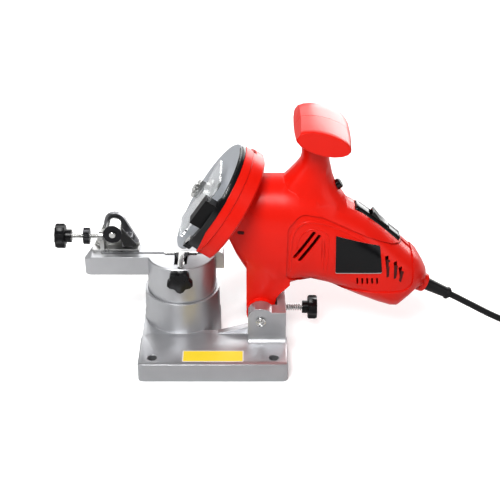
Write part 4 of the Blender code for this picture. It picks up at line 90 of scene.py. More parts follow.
@dataclass(frozen=True)
class Finish:
    """One finish: its colour and gloss, how they drift, and its grain, in metres."""

    name: str
    colour: Colour
    roughness: float
    metallic: float = 0.0
    drift: float = 0.05
    drift_size: float = 0.020
    rough_drift: float = 0.06
    grain_depth: float = 0.00002
    grain_size: float = 0.0010
    edge_radius: float = 0.0003
    wear: float = 0.0
    wear_colour: Colour = (0.5, 0.5, 0.5)
    transmission: float = 0.0
    ior: float = 1.5
    smooth_angle: float = 32.0


CAST_SILVER = Finish(
    "cast silver", (0.47, 0.475, 0.49), 0.36, 0.75, drift=0.10, rough_drift=0.10,
    grain_depth=0.00005, grain_size=0.0016, edge_radius=0.0009, wear=0.35, wear_colour=(0.62, 0.62, 0.63),
)
RAIL_SILVER = Finish(
    "rail silver", (0.50, 0.505, 0.52), 0.34, 0.7, drift=0.08, rough_drift=0.08,
    grain_depth=0.00004, grain_size=0.0014, edge_radius=0.0006, wear=0.35, wear_colour=(0.66, 0.66, 0.67),
)
HOUSING_RED = Finish(
    "housing red", (0.71, 0.015, 0.006), 0.30, ior=1.37, drift=0.03, rough_drift=0.05,
    grain_depth=0.000008, grain_size=0.0030, edge_radius=0.0007, wear=0.10, wear_colour=(0.85, 0.06, 0.04),
)
KNOB_BLACK = Finish(
    "knob black", (0.008, 0.008, 0.009), 0.30, ior=1.38, drift=0.2, rough_drift=0.10,
    grain_depth=0.00001, grain_size=0.0008, edge_radius=0.0004, wear=0.25, wear_colour=(0.05, 0.05, 0.05),
)
SHIELD_BLACK = Finish(
    "shield black", (0.005, 0.005, 0.006), 0.42, ior=1.35, drift=0.2, rough_drift=0.10,
    grain_size=0.0006, edge_radius=0.0004, wear=0.2, wear_colour=(0.04, 0.04, 0.04),
)
SWITCH_BLACK = Finish(
    "switch black", (0.007, 0.007, 0.007), 0.16, drift=0.15, grain_depth=0.000008, grain_size=0.0008,
)
ZINC = Finish(
    "bright zinc", (0.62, 0.62, 0.61), 0.22, 1.0, drift=0.12, drift_size=0.006, rough_drift=0.12,
    grain_depth=0.000006, grain_size=0.0005, edge_radius=0.00025,
)
SPRING_WIRE = Finish(
    "spring wire", (0.80, 0.80, 0.80), 0.30, 0.6, drift=0.10, drift_size=0.004, edge_radius=0.0,
    grain_depth=0.000004, grain_size=0.0004,
)
BLACK_OXIDE = Finish(
    "black oxide", (0.030, 0.030, 0.033), 0.36, 0.8, drift=0.3, drift_size=0.006, rough_drift=0.12,
    grain_depth=0.00001, grain_size=0.0005, wear=0.5, wear_colour=(0.30, 0.30, 0.31),
)
PAWL_STEEL = Finish(
    "pawl steel", (0.20, 0.20, 0.21), 0.32, 0.9, drift=0.2, drift_size=0.008, rough_drift=0.12,
    grain_depth=0.00001, grain_size=0.0006, edge_radius=0.0004, wear=0.5, wear_colour=(0.55, 0.55, 0.55),
)
PLATED_SHEET = Finish(
    "plated sheet", (0.50, 0.50, 0.49), 0.30, 0.95, drift=0.12, drift_size=0.008, rough_drift=0.10,
    grain_depth=0.00001, grain_size=0.0006, wear=0.3, wear_colour=(0.7, 0.7, 0.7),
)
STONE = Finish(
    "grinding stone", (0.36, 0.375, 0.40), 0.80, drift=0.22, drift_size=0.0016, rough_drift=0.1,
    grain_depth=0.00018, grain_size=0.0009,
)
CLEAR = Finish(
    "clear plastic", (0.93, 0.95, 0.965), 0.06, transmission=0.95, drift=0.02, rough_drift=0.02,
    grain_depth=0.0000004, grain_size=0.0040, edge_radius=0.0, ior=1.45,
)
COPPER = Finish("copper", (0.62, 0.25, 0.13), 0.35, 1.0, drift=0.2, drift_size=0.004)
LAMINATION = Finish("laminations", (0.22, 0.22, 0.23), 0.45, 0.9, drift=0.2, drift_size=0.004)
CARBON = Finish("carbon", (0.018, 0.018, 0.018), 0.65, drift=0.3, drift_size=0.002)
CORD_RUBBER = Finish(
    "cord rubber", (0.008, 0.008, 0.009), 0.48, ior=1.40, drift=0.2, rough_drift=0.10, edge_radius=0.0,
)
PLUG_RUBBER = Finish(
    "plug rubber", (0.009, 0.009, 0.010), 0.45, ior=1.40, drift=0.2, rough_drift=0.10,
    grain_depth=0.00003, grain_size=0.0012, edge_radius=0.0005,
)
PLATE_BLACK = Finish(
    "plate black", (0.004, 0.004, 0.005), 0.22, ior=1.40, drift=0.2, rough_drift=0.05,
    grain_depth=0.000004, grain_size=0.0020, edge_radius=0.0002,
)
# Painted shade: the dark red of the shadowed insides of the housing's openings.
PAINTED_OPENING_SHADE = Finish("painted opening shade", (0.075, 0.003, 0.002), 0.70, drift=0.2, edge_radius=0.0)
LINER_BLACK = Finish(
    "liner black", (0.006, 0.006, 0.007), 0.20, drift=0.1, rough_drift=0.04,
    grain_depth=0.000004, edge_radius=0.0002,
)
PLATE_RIM = Finish("plate rim", (0.60, 0.58, 0.57), 0.35, 0.3)
STICKER_YELLOW = Finish("sticker yellow", (0.86, 0.66, 0.035), 0.38, grain_depth=0.000006)
STICKER_EDGE = Finish("sticker edge", (0.80, 0.76, 0.70), 0.40, drift=0.04, grain_depth=0.000006)


# Node trees and materials


def wire(node: Node, sockets: dict[str | int, object]) -> None:
    """Set or wire a node's inputs.

    Args:
        node: the node.
        sockets: what each input gets: a value, an output, or a node whose first output it takes.
    """
    for name, source in sockets.items():
        if isinstance(source, Node):
            source = source.outputs[0]
        if isinstance(source, bpy.types.NodeSocket):
            node.id_data.links.new(source, node.inputs[name])
        else:
            node.inputs[name].default_value = source


def add_node(tree: NodeTree, kind: str, sockets: dict[str | int, object], **settings: object) -> Node:
    """Add a node to a tree.

    Args:
        tree: the tree.
        kind: the node's type.
        sockets: what its inputs get, as in wire.
        settings: the node's own settings, made before its inputs.

    Returns:
        The new node.
    """
    node = tree.nodes.new(kind)
    for name, value in settings.items():
        setattr(node, name, value)
    wire(node, sockets)
    return node


def add_math(tree: NodeTree, operation: str, *values: object, clamp: bool = False) -> Node:
    """Add a Math node whose inputs get the values in order."""
    inputs = dict(enumerate(values))
    return add_node(tree, "ShaderNodeMath", inputs, operation=operation, use_clamp=clamp)


def add_noise(tree: NodeTree, **sockets: object) -> Node:
    """Add a noise that lies still in the object."""
    place = tree.nodes.new("ShaderNodeTexCoord").outputs["Object"]
    return add_node(tree, "ShaderNodeTexNoise", {"Vector": place, **sockets})


def new_group(
    name: str, kind: str, inputs: dict[str, str], outputs: dict[str, str]
) -> tuple[NodeTree, Node, Node]:
    """Make a node group with its sockets and nothing wired.

    Args:
        name: the group's name.
        kind: the tree's type.
        inputs: input socket types by name.
        outputs: output socket types by name.

    Returns:
        The group, its input node and its output node.
    """
    tree = bpy.data.node_groups.new(name, kind)
    for way, sockets in (("INPUT", inputs), ("OUTPUT", outputs)):
        for label, socket in sockets.items():
            tree.interface.new_socket(name=label, in_out=way, socket_type=f"NodeSocket{socket}")
    return tree, tree.nodes.new("NodeGroupInput"), tree.nodes.new("NodeGroupOutput")


class SharedEffects:
    """The node groups that more than one material uses, each made once."""

    def __init__(self) -> None:
        """Make the groups."""
        self.drift = self._colour_drift()
        self.wear = self._edge_wear()
        self.relief = self._surface_relief()

    @staticmethod
    def _colour_drift() -> NodeTree:
        """Make the slow change of colour over a surface, and the noise behind it.

        Returns:
            The group.
        """
        inputs = {"Colour": "Color", "Scale": "Float", "Amount": "Float"}
        outputs = {"Colour": "Color", "Tone": "Float"}
        tree, start, end = new_group("colour drift", "ShaderNodeTree", inputs, outputs)
        noise = add_noise(tree, Detail=4.0, Scale=start.outputs["Scale"])
        centred = add_math(tree, "SUBTRACT", noise, 0.5)
        scaled = add_math(tree, "MULTIPLY", centred, start.outputs["Amount"])
        value = add_math(tree, "MULTIPLY_ADD", scaled, 2.0, 1.0)
        change = {"Color": start.outputs["Colour"], "Value": value}
        wire(end, {"Colour": add_node(tree, "ShaderNodeHueSaturation", change), "Tone": noise})
        return tree

    @staticmethod
    def _edge_wear() -> NodeTree:
        """Make a mask that is 1 on edges, and the normal that rounds them.

        Returns:
            The group.
        """
        inputs = {"Radius": "Float", "Amount": "Float"}
        outputs = {"Mask": "Float", "Normal": "Vector"}
        tree, start, end = new_group("edge wear", "ShaderNodeTree", inputs, outputs)
        bevel = add_node(tree, "ShaderNodeBevel", {"Radius": start.outputs["Radius"]}, samples=6)
        flat = tree.nodes.new("ShaderNodeNewGeometry").outputs["Normal"]
        along = add_node(tree, "ShaderNodeVectorMath", {0: bevel, 1: flat}, operation="DOT_PRODUCT")
        noise = add_noise(tree, Scale=260.0, Detail=3.0)
        bend = {"Value": along.outputs["Value"], "From Min": 0.995, "From Max": 0.80}
        broken = add_math(tree, "MULTIPLY", add_node(tree, "ShaderNodeMapRange", bend), noise)
        amount = add_math(tree, "MULTIPLY", broken, start.outputs["Amount"], clamp=True)
        wire(end, {"Mask": amount, "Normal": bevel})
        return tree

    @staticmethod
    def _surface_relief() -> NodeTree:
        """Make the fine grain that a Bump node reads as its height.

        Returns:
            The group.
        """
        sockets = {"Scale": "Float"}, {"Height": "Float"}
        tree, start, end = new_group("surface relief", "ShaderNodeTree", *sockets)
        wire(end, {"Height": add_noise(tree, Detail=2.5, Roughness=0.6, Scale=start.outputs["Scale"])})
        return tree


class EdgeSmoothing:
    """The modifier that joins a node's facets and shades them smooth up to an angle."""

    def __init__(self) -> None:
        """Build the node group that every modifier shares."""
        inputs = {"Mesh": "Geometry", "Angle": "Float"}
        tree, start, end = new_group("smooth facets", "GeometryNodeTree", inputs, {"Mesh": "Geometry"})
        self._tree = tree
        self._angle = tree.interface.items_tree["Angle"].identifier
        named = {"Geometry": start, "Name": "custom_normal"}
        apart = {"Geometry": add_node(tree, "GeometryNodeRemoveAttribute", named), "Distance": 0.000005}
        joined = {"Geometry": add_node(tree, "GeometryNodeMergeByDistance", apart)}
        faces = add_node(tree, "GeometryNodeSetShadeSmooth", joined, domain="FACE")
        bend = tree.nodes.new("GeometryNodeInputMeshEdgeAngle").outputs["Unsigned Angle"]
        limits = {"A": bend, "B": start.outputs["Angle"]}
        sharp = add_node(tree, "FunctionNodeCompare", limits, data_type="FLOAT", operation="GREATER_THAN")
        edges = {"Geometry": faces, "Selection": sharp, "Shade Smooth": False}
        wire(end, {"Mesh": add_node(tree, "GeometryNodeSetShadeSmooth", edges, domain="EDGE")})

    def apply_to(self, thing: Thing, degrees: float) -> None:
        """Put the modifier on one object.

        Args:
            thing: the object.
            degrees: edges that bend more than this stay sharp.
        """
        modifier = thing.modifiers.new("smooth facets", "NODES")
        modifier.node_group = self._tree
        modifier[self._angle] = math.radians(degrees)


class FinishShop:
    """Makes each finish's material once and puts it on pieces."""

    def __init__(self) -> None:
        """Start with the shared effects and no material."""
        self.effects = SharedEffects()
        self.smoothing = EdgeSmoothing()
        self._made: dict[str, Material] = {}

    def material(self, finish: Finish) -> Material:
        """Give a finish's material, made at its first use."""
        if finish.name not in self._made:
            self._made[finish.name] = self._build(finish)
        return self._made[finish.name]

    def _build(self, finish: Finish) -> Material:
        """Wire one finish: drift, wear and grain into one Principled BSDF.

        Args:
            finish: the finish to make.

        Returns:
            The new material.
        """
        material = bpy.data.materials.new(finish.name)
        material.use_nodes = True
        tree = material.node_tree
        shader = tree.nodes["Principled BSDF"]
        through = {"IOR": finish.ior, "Transmission Weight": finish.transmission}
        wire(shader, {"Metallic": finish.metallic, **through})
        tones = {"Scale": 1.0 / finish.drift_size, "Amount": finish.drift}
        tones["Colour"] = (*finish.colour, 1.0)
        drift = add_node(tree, "ShaderNodeGroup", tones, node_tree=self.effects.drift)
        colour = drift.outputs["Colour"]
        grain = {"Scale": 1.0 / finish.grain_size}
        relief = add_node(tree, "ShaderNodeGroup", grain, node_tree=self.effects.relief)
        height = {"Height": relief, "Strength": 1.0, "Distance": finish.grain_depth}
        bump = add_node(tree, "ShaderNodeBump", height)
        if finish.edge_radius > 0:
            edges = {"Radius": finish.edge_radius, "Amount": finish.wear}
            wear = add_node(tree, "ShaderNodeGroup", edges, node_tree=self.effects.wear)
            wire(bump, {"Normal": wear.outputs["Normal"]})
            if finish.wear > 0:
                worn = {"Factor": wear.outputs["Mask"], "A": colour, "B": (*finish.wear_colour, 1.0)}
                colour = add_node(tree, "ShaderNodeMix", worn, data_type="RGBA").outputs["Result"]
        rough = {
            "Value": drift.outputs["Tone"],
            "To Min": max(finish.roughness - finish.rough_drift, 0.02),
            "To Max": min(finish.roughness + finish.rough_drift, 1.0),
        }
        roughness = add_node(tree, "ShaderNodeMapRange", rough)
        wire(shader, {"Base Color": colour, "Roughness": roughness, "Normal": bump})
        return material

    def dress(self, thing: Thing, finish: Finish) -> None:
        """Give one object a finish in its only slot."""
        thing.data.materials.clear()
        thing.data.materials.append(self.material(finish))

    def dress_nodes(self, finish: Finish, *names: str) -> None:
        """Give nodes of the model a finish.

        Args:
            finish: their finish.
            names: the nodes' names.
        """
        for name in names:
            self.dress(frame["nodes"][name], finish)
            self.smoothing.apply_to(frame["nodes"][name], finish.smooth_angle)
            LOG.info("dressed %s in %s", name, finish.name)


# Shapes


def put(name: str, data: bpy.types.ID) -> Thing:
    """Make an object of its data and put it in the scene.

    Args:
        name: the object's name.
        data: its mesh, curve, lamp or camera.

    Returns:
        The object.
    """
    thing = bpy.data.objects.new(name, data)
    bpy.context.scene.collection.objects.link(thing)
    return thing


def piece_from(name: str, mesh_data: bmesh.types.BMesh, smooth_angle: float = 35.0) -> Thing:
    """Turn mesh data into an object, shaded smooth but for its sharp edges.

    Args:
        name: the piece's name.
        mesh_data: its mesh, which is freed.
        smooth_angle: edges sharper than this many degrees stay sharp.

    Returns:
        The new object.
    """
    bmesh.ops.recalc_face_normals(mesh_data, faces=mesh_data.faces)
    mesh = bpy.data.meshes.new(name)
    mesh_data.to_mesh(mesh)
    mesh_data.free()
    mesh.shade_smooth()
    mesh.set_sharp_from_angle(angle=math.radians(smooth_angle))
    return put(name, mesh)


def skin(data: bmesh.types.BMesh, rings: list[list[bmesh.types.BMVert]], closed: bool = False) -> None:
    """Join rings of vertices with faces.

    Args:
        data: the mesh that holds them.
        rings: the rings in order, all with the same number of vertices.
        closed: the last ring joins the first; otherwise each end gets a cap.
    """
    for near, far in zip(rings, rings[1:] + rings[:1] if closed else rings[1:]):
        for k in range(len(near)):
            after = (k + 1) % len(near)
            data.faces.new((near[k], near[after], far[after], far[k]))
    if not closed:
        data.faces.new(rings[0])
        data.faces.new(rings[-1])


def flat_slab(
    name: str, corners: list[Vector], out: Vector, thickness: float, rounding: float, steps: int = 6
) -> Thing:
    """Make a thin slab with rounded corners on a flat place.

    Args:
        name: the piece's name.
        corners: its corners in order, on its lower face.
        out: the way from the lower face to the upper one, of length 1.
        thickness: how thick it is.
        rounding: the radius of its corners.
        steps: how many steps a corner turns in.

    Returns:
        The slab.
    """
    outline: list[Vector] = []
    for k, corner in enumerate(corners):
        before = (corners[k - 1] - corner).normalized()
        after = (corners[(k + 1) % len(corners)] - corner).normalized()
        start, end = corner + before * rounding, corner + after * rounding
        for step in range(steps + 1):
            share = step / steps
            outline.append(start.lerp(corner, share).lerp(corner.lerp(end, share), share))
    data = bmesh.new()
    low = [data.verts.new(point) for point in outline]
    high = [data.verts.new(point + out * thickness) for point in outline]
    skin(data, [low, high])
    return piece_from(name, data)


def revolved(
    name: str, profile: Line, place: Matrix, turn: tuple[float, float] = (0.0, 360.0), steps: int = 48
) -> Thing:
    """Turn a closed profile round a place's local Z, all the way or through a sector.

    Args:
        name: the piece's name.
        profile: its corners in order, as radius and height.
        place: where it stands.
        turn: the sector's first and last angle, in degrees from local X.
        steps: how many steps it is turned in.

    Returns:
        The turned piece.
    """
    first, last = (math.radians(angle) for angle in turn)
    full = turn[1] - turn[0] >= 360.0
    data = bmesh.new()
    rings = []
    for k in range(steps if full else steps + 1):
        angle = first + (last - first) * k / steps
        side = Vector((math.cos(angle), math.sin(angle), 0))
        rings.append([data.verts.new(place @ (side * radius + UP * height)) for radius, height in profile])
    skin(data, rings, closed=full)
    bmesh.ops.remove_doubles(data, verts=data.verts, dist=0.000001)
    return piece_from(name, data)


def facing(way: Vector, place: Vector) -> Matrix:
    """Give the frame at a place whose local Z points along a way."""
    return Matrix.Translation(place) @ way.to_track_quat("Z", "Y").to_matrix().to_4x4()


def surface_of(node: str) -> BVHTree:
    """Give a node's surface for finding places on it.

    Args:
        node: the node's name.

    Returns:
        The surface, for casting rays on.
    """
    data = bmesh.new()
    data.from_mesh(frame["nodes"][node].data)
    tree = BVHTree.FromBMesh(data)
    data.free()
    return tree


def seen_from_front(tree: BVHTree, x: float, z: float) -> tuple[Vector | None, Vector | None]:
    """Give the place and the normal of a surface that a ray from a metre in front meets."""
    return tree.ray_cast(Vector((x, -1.0, z)), FAR)[:2]


def smooth_line(knots: list[Vector], steps: int) -> list[Vector]:
    """Give a smooth line through points.

    Args:
        knots: the points that it passes.
        steps: points on each stretch between two of them.

    Returns:
        The line's points, with both ends.
    """
    extended = [knots[0], *knots, knots[-1]]
    fine = []
    for a, b, c, d in zip(extended, extended[1:], extended[2:], extended[3:]):
        for k in range(steps):
            t = k / steps
            bend = (2 * a - 5 * b + 4 * c - d) * t**2 + (3 * b - a - 3 * c + d) * t**3
            fine.append((2 * b + (c - a) * t + bend) / 2)
    return [*fine, knots[-1]]


def surface_bead(name: str, node: str, line: Line, half_width: float, height: float) -> Thing:
    """Lay a low rounded bead on a node's near face, with both ends run out.

    Args:
        name: the piece's name.
        node: the node that it lies on.
        line: the points that it follows, as X and Z.
        half_width: half its width.
        height: how far it stands out.

    Returns:
        The bead.
    """
    stretch = 8  # points between two knots of the line
    arc = 8  # faces across the bead
    spread = 4  # neighbours on each side that even out a point
    run_out = 5  # points at each end over which it fades
    tree = surface_of(node)
    places, normals = [], []
    for point in smooth_line([Vector((x, 0, z)) for x, z in line], stretch):
        hit, normal = seen_from_front(tree, point.x, point.z)
        if hit is not None:
            places.append(hit)
            normals.append(normal)
    count = len(places)
    data = bmesh.new()
    rings = []
    for k, place in enumerate(places):
        near = range(max(0, k - spread), min(count, k + spread + 1))
        out = sum((normals[j] for j in near), Vector()).normalized()
        run = (places[min(k + 1, count - 1)] - places[max(k - 1, 0)]).normalized()
        side = out.cross(run).normalized()
        full = min(1.0, (k + 0.5) / run_out, (count - k - 0.5) / run_out)
        if spread <= k < count - spread:
            place = sum((places[j] for j in near), Vector()) / len(near)
        ring = []
        for j in range(arc + 1):
            angle = math.pi * j / arc
            rise = out * (math.sin(angle) * height - height / 3) * full
            ring.append(data.verts.new(place + side * (math.cos(angle) * half_width * full) + rise))
        rings.append(ring)
    skin(data, rings)
    return piece_from(name, data, 60.0)


def painted_shade_slab(name: str, node: str, corners: Line, rounding: float) -> Thing:
    """Lay a dark slab in the mouth of an opening, flush with the near face round it: painted shade for the
    opening's shadowed inside.

    Args:
        name: the piece's name.
        node: the node that holds the opening.
        corners: the mouth's corners in order, as X and Z.
        rounding: the radius of its corners.

    Returns:
        The slab.
    """
    reach = 0.0014  # from a corner to the face round the mouth
    thickness = 0.0008
    sunk = 0.0007
    tree = surface_of(node)
    places = []
    for x, z in corners:
        hits = []
        for across, along in ((-reach, 0), (reach, 0), (0, -reach), (0, reach)):
            hit = seen_from_front(tree, x + across, z + along)[0]
            if hit is not None:
                hits.append(hit.y)
        places.append(Vector((x, min(hits) + sunk, z)))
    return flat_slab(name, places, NEAR, thickness, rounding)


def wrapped_slab(
    name: str, corners: Line, node: str, lift: float, thickness: float, rounding: float
) -> Thing:
    """Make a thin slab that follows a node's face, as seen from the front.

    Args:
        name: the piece's name.
        corners: its corners in order, as X and Z.
        node: the node that it lies on.
        lift: how far its lower face stands off the node.
        thickness: how thick it is.
        rounding: the radius of its corners.

    Returns:
        The slab.
    """
    tree = surface_of(node)
    slab = flat_slab(name, [Vector((x, 0, z)) for x, z in corners], NEAR, thickness, rounding)
    data = bmesh.new()
    data.from_mesh(slab.data)
    bmesh.ops.triangulate(data, faces=[face for face in data.faces if len(face.verts) > 4])
    for _ in range(3):
        bmesh.ops.subdivide_edges(data, edges=data.edges, cuts=1, use_grid_fill=True)
        bmesh.ops.triangulate(data, faces=data.faces)
    for vert in data.verts:
        hit = seen_from_front(tree, vert.co.x, vert.co.z)[0]
        if hit is not None:
            vert.co.y += hit.y - lift
    data.to_mesh(slab.data)
    data.free()
    slab.data.shade_smooth()
    slab.data.set_sharp_from_angle(angle=math.radians(40))
    return slab


def tube_curve(name: str, points: list[Vector], radius: float, sides: int) -> Thing:
    """Make a round tube along points, as a curve of one open line.

    Args:
        name: the piece's name.
        points: the points that it follows.
        radius: the tube's radius.
        sides: its bevel resolution.

    Returns:
        The curve object.
    """
    curve = bpy.data.curves.new(name, "CURVE")
    curve.dimensions = "3D"
    curve.bevel_depth = radius
    curve.bevel_resolution = sides
    curve.use_fill_caps = True
    spline = curve.splines.new("POLY")
    spline.points.add(len(points) - 1)
    for target, point in zip(spline.points, points):
        target.co = (*point, 1.0)
    spline.use_smooth = True
    return put(name, curve)


@dataclass
class Trim:
    """A group of pieces that is added to the model: a subclass models them in build."""

    shop: FinishShop

    def add(self, piece: Thing, finish: Finish, body: Body, slot: str, *nodes: str) -> None:
        """Dress a piece, make it ride on its body and hide the nodes that it stands for.

        Args:
            piece: the piece.
            finish: its finish.
            body: the body that it rides on.
            slot: the record's slot that it takes its finish from; not used.
            nodes: the names of the nodes that it replaces.
        """
        self.shop.dress(piece, finish)
        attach(piece, body.value)
        if nodes:
            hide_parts(*nodes)
        LOG.info("piece %s rides on %s", piece.name, body.value)


# The cord


@dataclass
class PowerCord(Trim):
    """The lead: its free route and its coil."""

    radius: float = 0.0031
    gap: float = 0.0003
    coil_centre: tuple[float, float] = (0.3500, 0.0950)
    coil_inner: float = 0.0252
    coil_turns: int = 7
    coil_layers: int = 2
    coil_pitch: float = 0.0069
    coil_lead: float = 0.0380
    tie_thickness: float = 0.0010
    loop_points: int = 48
    route_steps: int = 6
    route: tuple[Point, ...] = (
        (0.2360, 0.0609, 0.0324), (0.2430, 0.0609, 0.0284), (0.2500, 0.0609, 0.0244),
        (0.2570, 0.0608, 0.0204), (0.2640, 0.0607, 0.0166), (0.2710, 0.0605, 0.0131),
        (0.2780, 0.0600, 0.0101), (0.2850, 0.0592, 0.0076), (0.2920, 0.0581, 0.0057),
        (0.2990, 0.0566, 0.0044), (0.3060, 0.0547, 0.0036), (0.3130, 0.0525, 0.0034),
        (0.3200, 0.0502, 0.0035), (0.3270, 0.0481, 0.0038), (0.3350, 0.0465, 0.0042),
    )

    def coil(self) -> list[Vector]:
        """Give the coil's points: the lower layer spirals in, the upper one out.

        Returns:
            The points in order, with a straight lead at each end.
        """
        in_layer = self.coil_turns / self.coil_layers
        floor = self.tie_thickness + self.gap + self.radius
        outside = self.coil_inner + self.coil_pitch * in_layer
        x, y = self.coil_centre
        points = []
        for k in range(self.coil_turns * self.loop_points + 1):
            turn = k / self.loop_points
            layer = min(int(turn / in_layer), self.coil_layers - 1)
            inward = turn - layer * in_layer
            if layer % 2:
                inward = in_layer - inward
            radius = outside - self.coil_pitch * inward
            climb = min(max(2 * (turn - in_layer) + 0.5, 0.0), 1.0)
            angle = 2 * math.pi * turn - math.pi / 2
            across, along = radius * math.cos(angle), radius * math.sin(angle)
            points.append(Vector((x + across, y + along, floor + self.coil_pitch * climb)))
        straight = RIGHT * 2 * self.radius
        return [points[0] - straight, *points, points[-1] + RIGHT * self.coil_lead]

    def line(self) -> list[Vector]:
        """Give the whole cord's middle line, from the sleeve to the plug.

        Returns:
            The points in order.
        """
        start = SLEEVE_ROOT + SLEEVE_WAY * (SLEEVE_LENGTH + self.gap)
        straight = start + SLEEVE_WAY * 2 * self.radius
        coil = self.coil()
        before = coil[0] - RIGHT * (2 * self.radius + self.gap)
        knots = [straight, *(Vector(point) for point in self.route), before]
        return [start, *smooth_line(knots, self.route_steps), *coil]

    def build(self) -> None:
        points = self.line()
        lead = tube_curve("power_cord", points, self.radius, 5)
        self.add(lead, CORD_RUBBER, Body.BASE, "cord_rubber", "cord", "cord_coil")


# Screws and springs


@dataclass
class ThreadedRod(Trim):
    """A screw's threaded length: a helical ridge on a core, in place of a plain node."""

    node: str
    body: Body
    slot: str
    way: Vector
    radius: float = 0.0020
    pitch: float = 0.0007
    depth_share: float = 0.26
    points: int = 20
    rows: int = 4

    def build(self) -> None:
        """Model the thread over the node's own length; its ends are plain."""
        low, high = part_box(self.node)
        length = abs((high - low).dot(self.way))
        side = self.way.orthogonal().normalized()
        other = self.way.cross(side)
        start = (low + high) / 2 - self.way * (length / 2)
        depth = self.radius * self.depth_share
        levels = round(length / self.pitch) * self.rows
        data = bmesh.new()
        rings = []
        for level in range(levels + 1):
            along = length * level / levels
            plain = along < self.pitch or along > length - self.pitch
            ring = []
            for k in range(self.points):
                turn = k / self.points
                wave = (along / self.pitch - turn) % 1.0
                radius = self.radius - depth * (1 if plain else abs(2 * wave - 1))
                angle = 2 * math.pi * turn
                offset = side * math.cos(angle) + other * math.sin(angle)
                ring.append(data.verts.new(start + self.way * along + offset * radius))
            rings.append(ring)
        skin(data, rings)
        rod = piece_from(f"{self.node}_thread", data, 60.0)
        self.add(rod, ZINC, self.body, self.slot, self.node)


@dataclass
class DepthSpring(Trim):
    """The spring round the depth screw, in finer wire than the model's."""

    node: str = "depth_spring"
    radius: float = 0.0029
    wire_radius: float = 0.0006
    curls: int = 7
    per_curl: int = 28

    def build(self) -> None:
        """Model the spring over the node's length."""
        low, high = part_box(self.node)
        middle = (low + high) / 2
        start = Vector((low.x + self.wire_radius, middle.y, middle.z))
        length = high.x - low.x - 2 * self.wire_radius
        count = self.curls * self.per_curl
        points = []
        for k in range(count + 1):
            angle = 2 * math.pi * k / self.per_curl
            round_axis = FAR * math.cos(angle) + UP * math.sin(angle)
            points.append(start + RIGHT * (length * k / count) + round_axis * self.radius)
        spring = tube_curve("depth_spring_wire", points, self.wire_radius, 3)
        self.add(spring, SPRING_WIRE, Body.BASE, "spring_steel", self.node)


# The head


@dataclass
class RatingPlate(Trim):
    """The bare plate on the housing's near side, in its panel, over a pale line along its foot."""

    node: str = "housing_front"
    thickness: float = 0.0005
    rim: float = 0.0008
    rim_below: float = 0.09
    lift: float = 0.0002
    corners: Line = (
        (0.1112, 0.0818), (0.1534, 0.0822), (0.1509, 0.1078), (0.1103, 0.1208),
    )

    def build(self) -> None:
        """Model the pale rim and the plate."""
        inner = tuple((x, z + (self.rim if z < self.rim_below else 0.0)) for x, z in self.corners)
        for name, corners, lift, rounding, finish in (
            ("rating_plate_rim", self.corners, self.lift, 0.0016, PLATE_RIM),
            ("rating_plate", inner, self.lift * 2, 0.0014, PLATE_BLACK),
        ):
            plate = wrapped_slab(name, corners, self.node, lift, self.thickness, rounding)
            self.add(plate, finish, Body.HEAD, "black_plastic")


@dataclass
class GuardTrim(Trim):
    """The guard's open rim: its black ring, which is partly a real liner and partly painted shade for the
    shadowed gaps beside the liner's rim, a zinc line that is a painted highlight along that rim, its
    deeper lower part, catch and clip.

    Each profile gives the distance from the wheel's axis and the height over the wheel's near face.
    """

    thickness: float = 0.0032
    upper: tuple[float, float] = (-3.0, 61.5)
    lower: tuple[float, float] = (61.5, 118.0)
    end: tuple[float, float] = (118.0, 123.0)
    clip_turn: tuple[float, float] = (109.0, 119.0)
    ring: Line = (
        (0.0576, 0.0021), (0.0577, 0.0004), (0.0573, -0.0006), (0.0563, -0.0012), (0.0560, -0.0008),
        (0.0552, -0.0008), (0.0549, -0.0015), (0.0540, -0.0019), (0.0530, -0.0016),
        (0.0527, -0.0009), (0.0546, -0.0009), (0.0549, 0.0021),
    )
    edge: Line = (
        (0.0578, 0.0095), (0.0579, 0.0023), (0.0586, 0.0021), (0.0587, -0.0026), (0.0582, -0.0032),
        (0.0573, -0.0032), (0.0562, 0.0023), (0.0560, 0.0095),
    )
    catch: Line = (
        (0.0588, 0.0021), (0.0590, -0.0046), (0.0545, -0.0046), (0.0545, -0.0010), (0.0573, 0.0021),
    )
    # The zinc line is a painted highlight along the liner's rounded rim.
    line: Line = (
        (0.0561, -0.0006), (0.0560, -0.0012), (0.0552, -0.0012), (0.0551, -0.0006),
    )
    clip: Line = (
        (0.0580, -0.0044), (0.0580, -0.0050), (0.0540, -0.0050), (0.0540, -0.0044),
    )

    def place(self) -> Matrix:
        """Give the wheel's frame: local X up its face, local Z from its face to the motor.

        Returns:
            The frame, at the middle of the wheel's near face.
        """
        spin = next(joint for joint in frame["joints"] if joint["name"] == "wheel_spin")
        way = Vector(spin["axis"])
        low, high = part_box("grinding_wheel")
        rotation = Matrix((Vector((-way.z, 0, way.x)), NEAR, way)).transposed().to_4x4()
        return Matrix.Translation((low + high) / 2 - way * (self.thickness / 2)) @ rotation

    def build(self) -> None:
        """Model the ring, its deeper part, the catch, the painted highlight line and the clip."""
        place = self.place()
        # The black ring is partly painted shade for the shadowed gaps beside the liner's rim, and the zinc
        # line is a painted highlight along that rim.
        for name, profile, turn, steps, finish, slot in (
            ("guard_ring", self.ring, self.upper, 40, LINER_BLACK, "black_plastic"),
            ("guard_edge", self.edge, self.lower, 40, LINER_BLACK, "black_plastic"),
            ("guard_catch", self.catch, self.end, 6, LINER_BLACK, "black_plastic"),
            ("guard_highlight_line", self.line, self.upper, 40, ZINC, "zinc_steel"),
            ("guard_clip", self.clip, self.clip_turn, 10, ZINC, "zinc_steel"),
        ):
            self.add(revolved(name, profile, place, turn, steps), finish, Body.HEAD, slot)


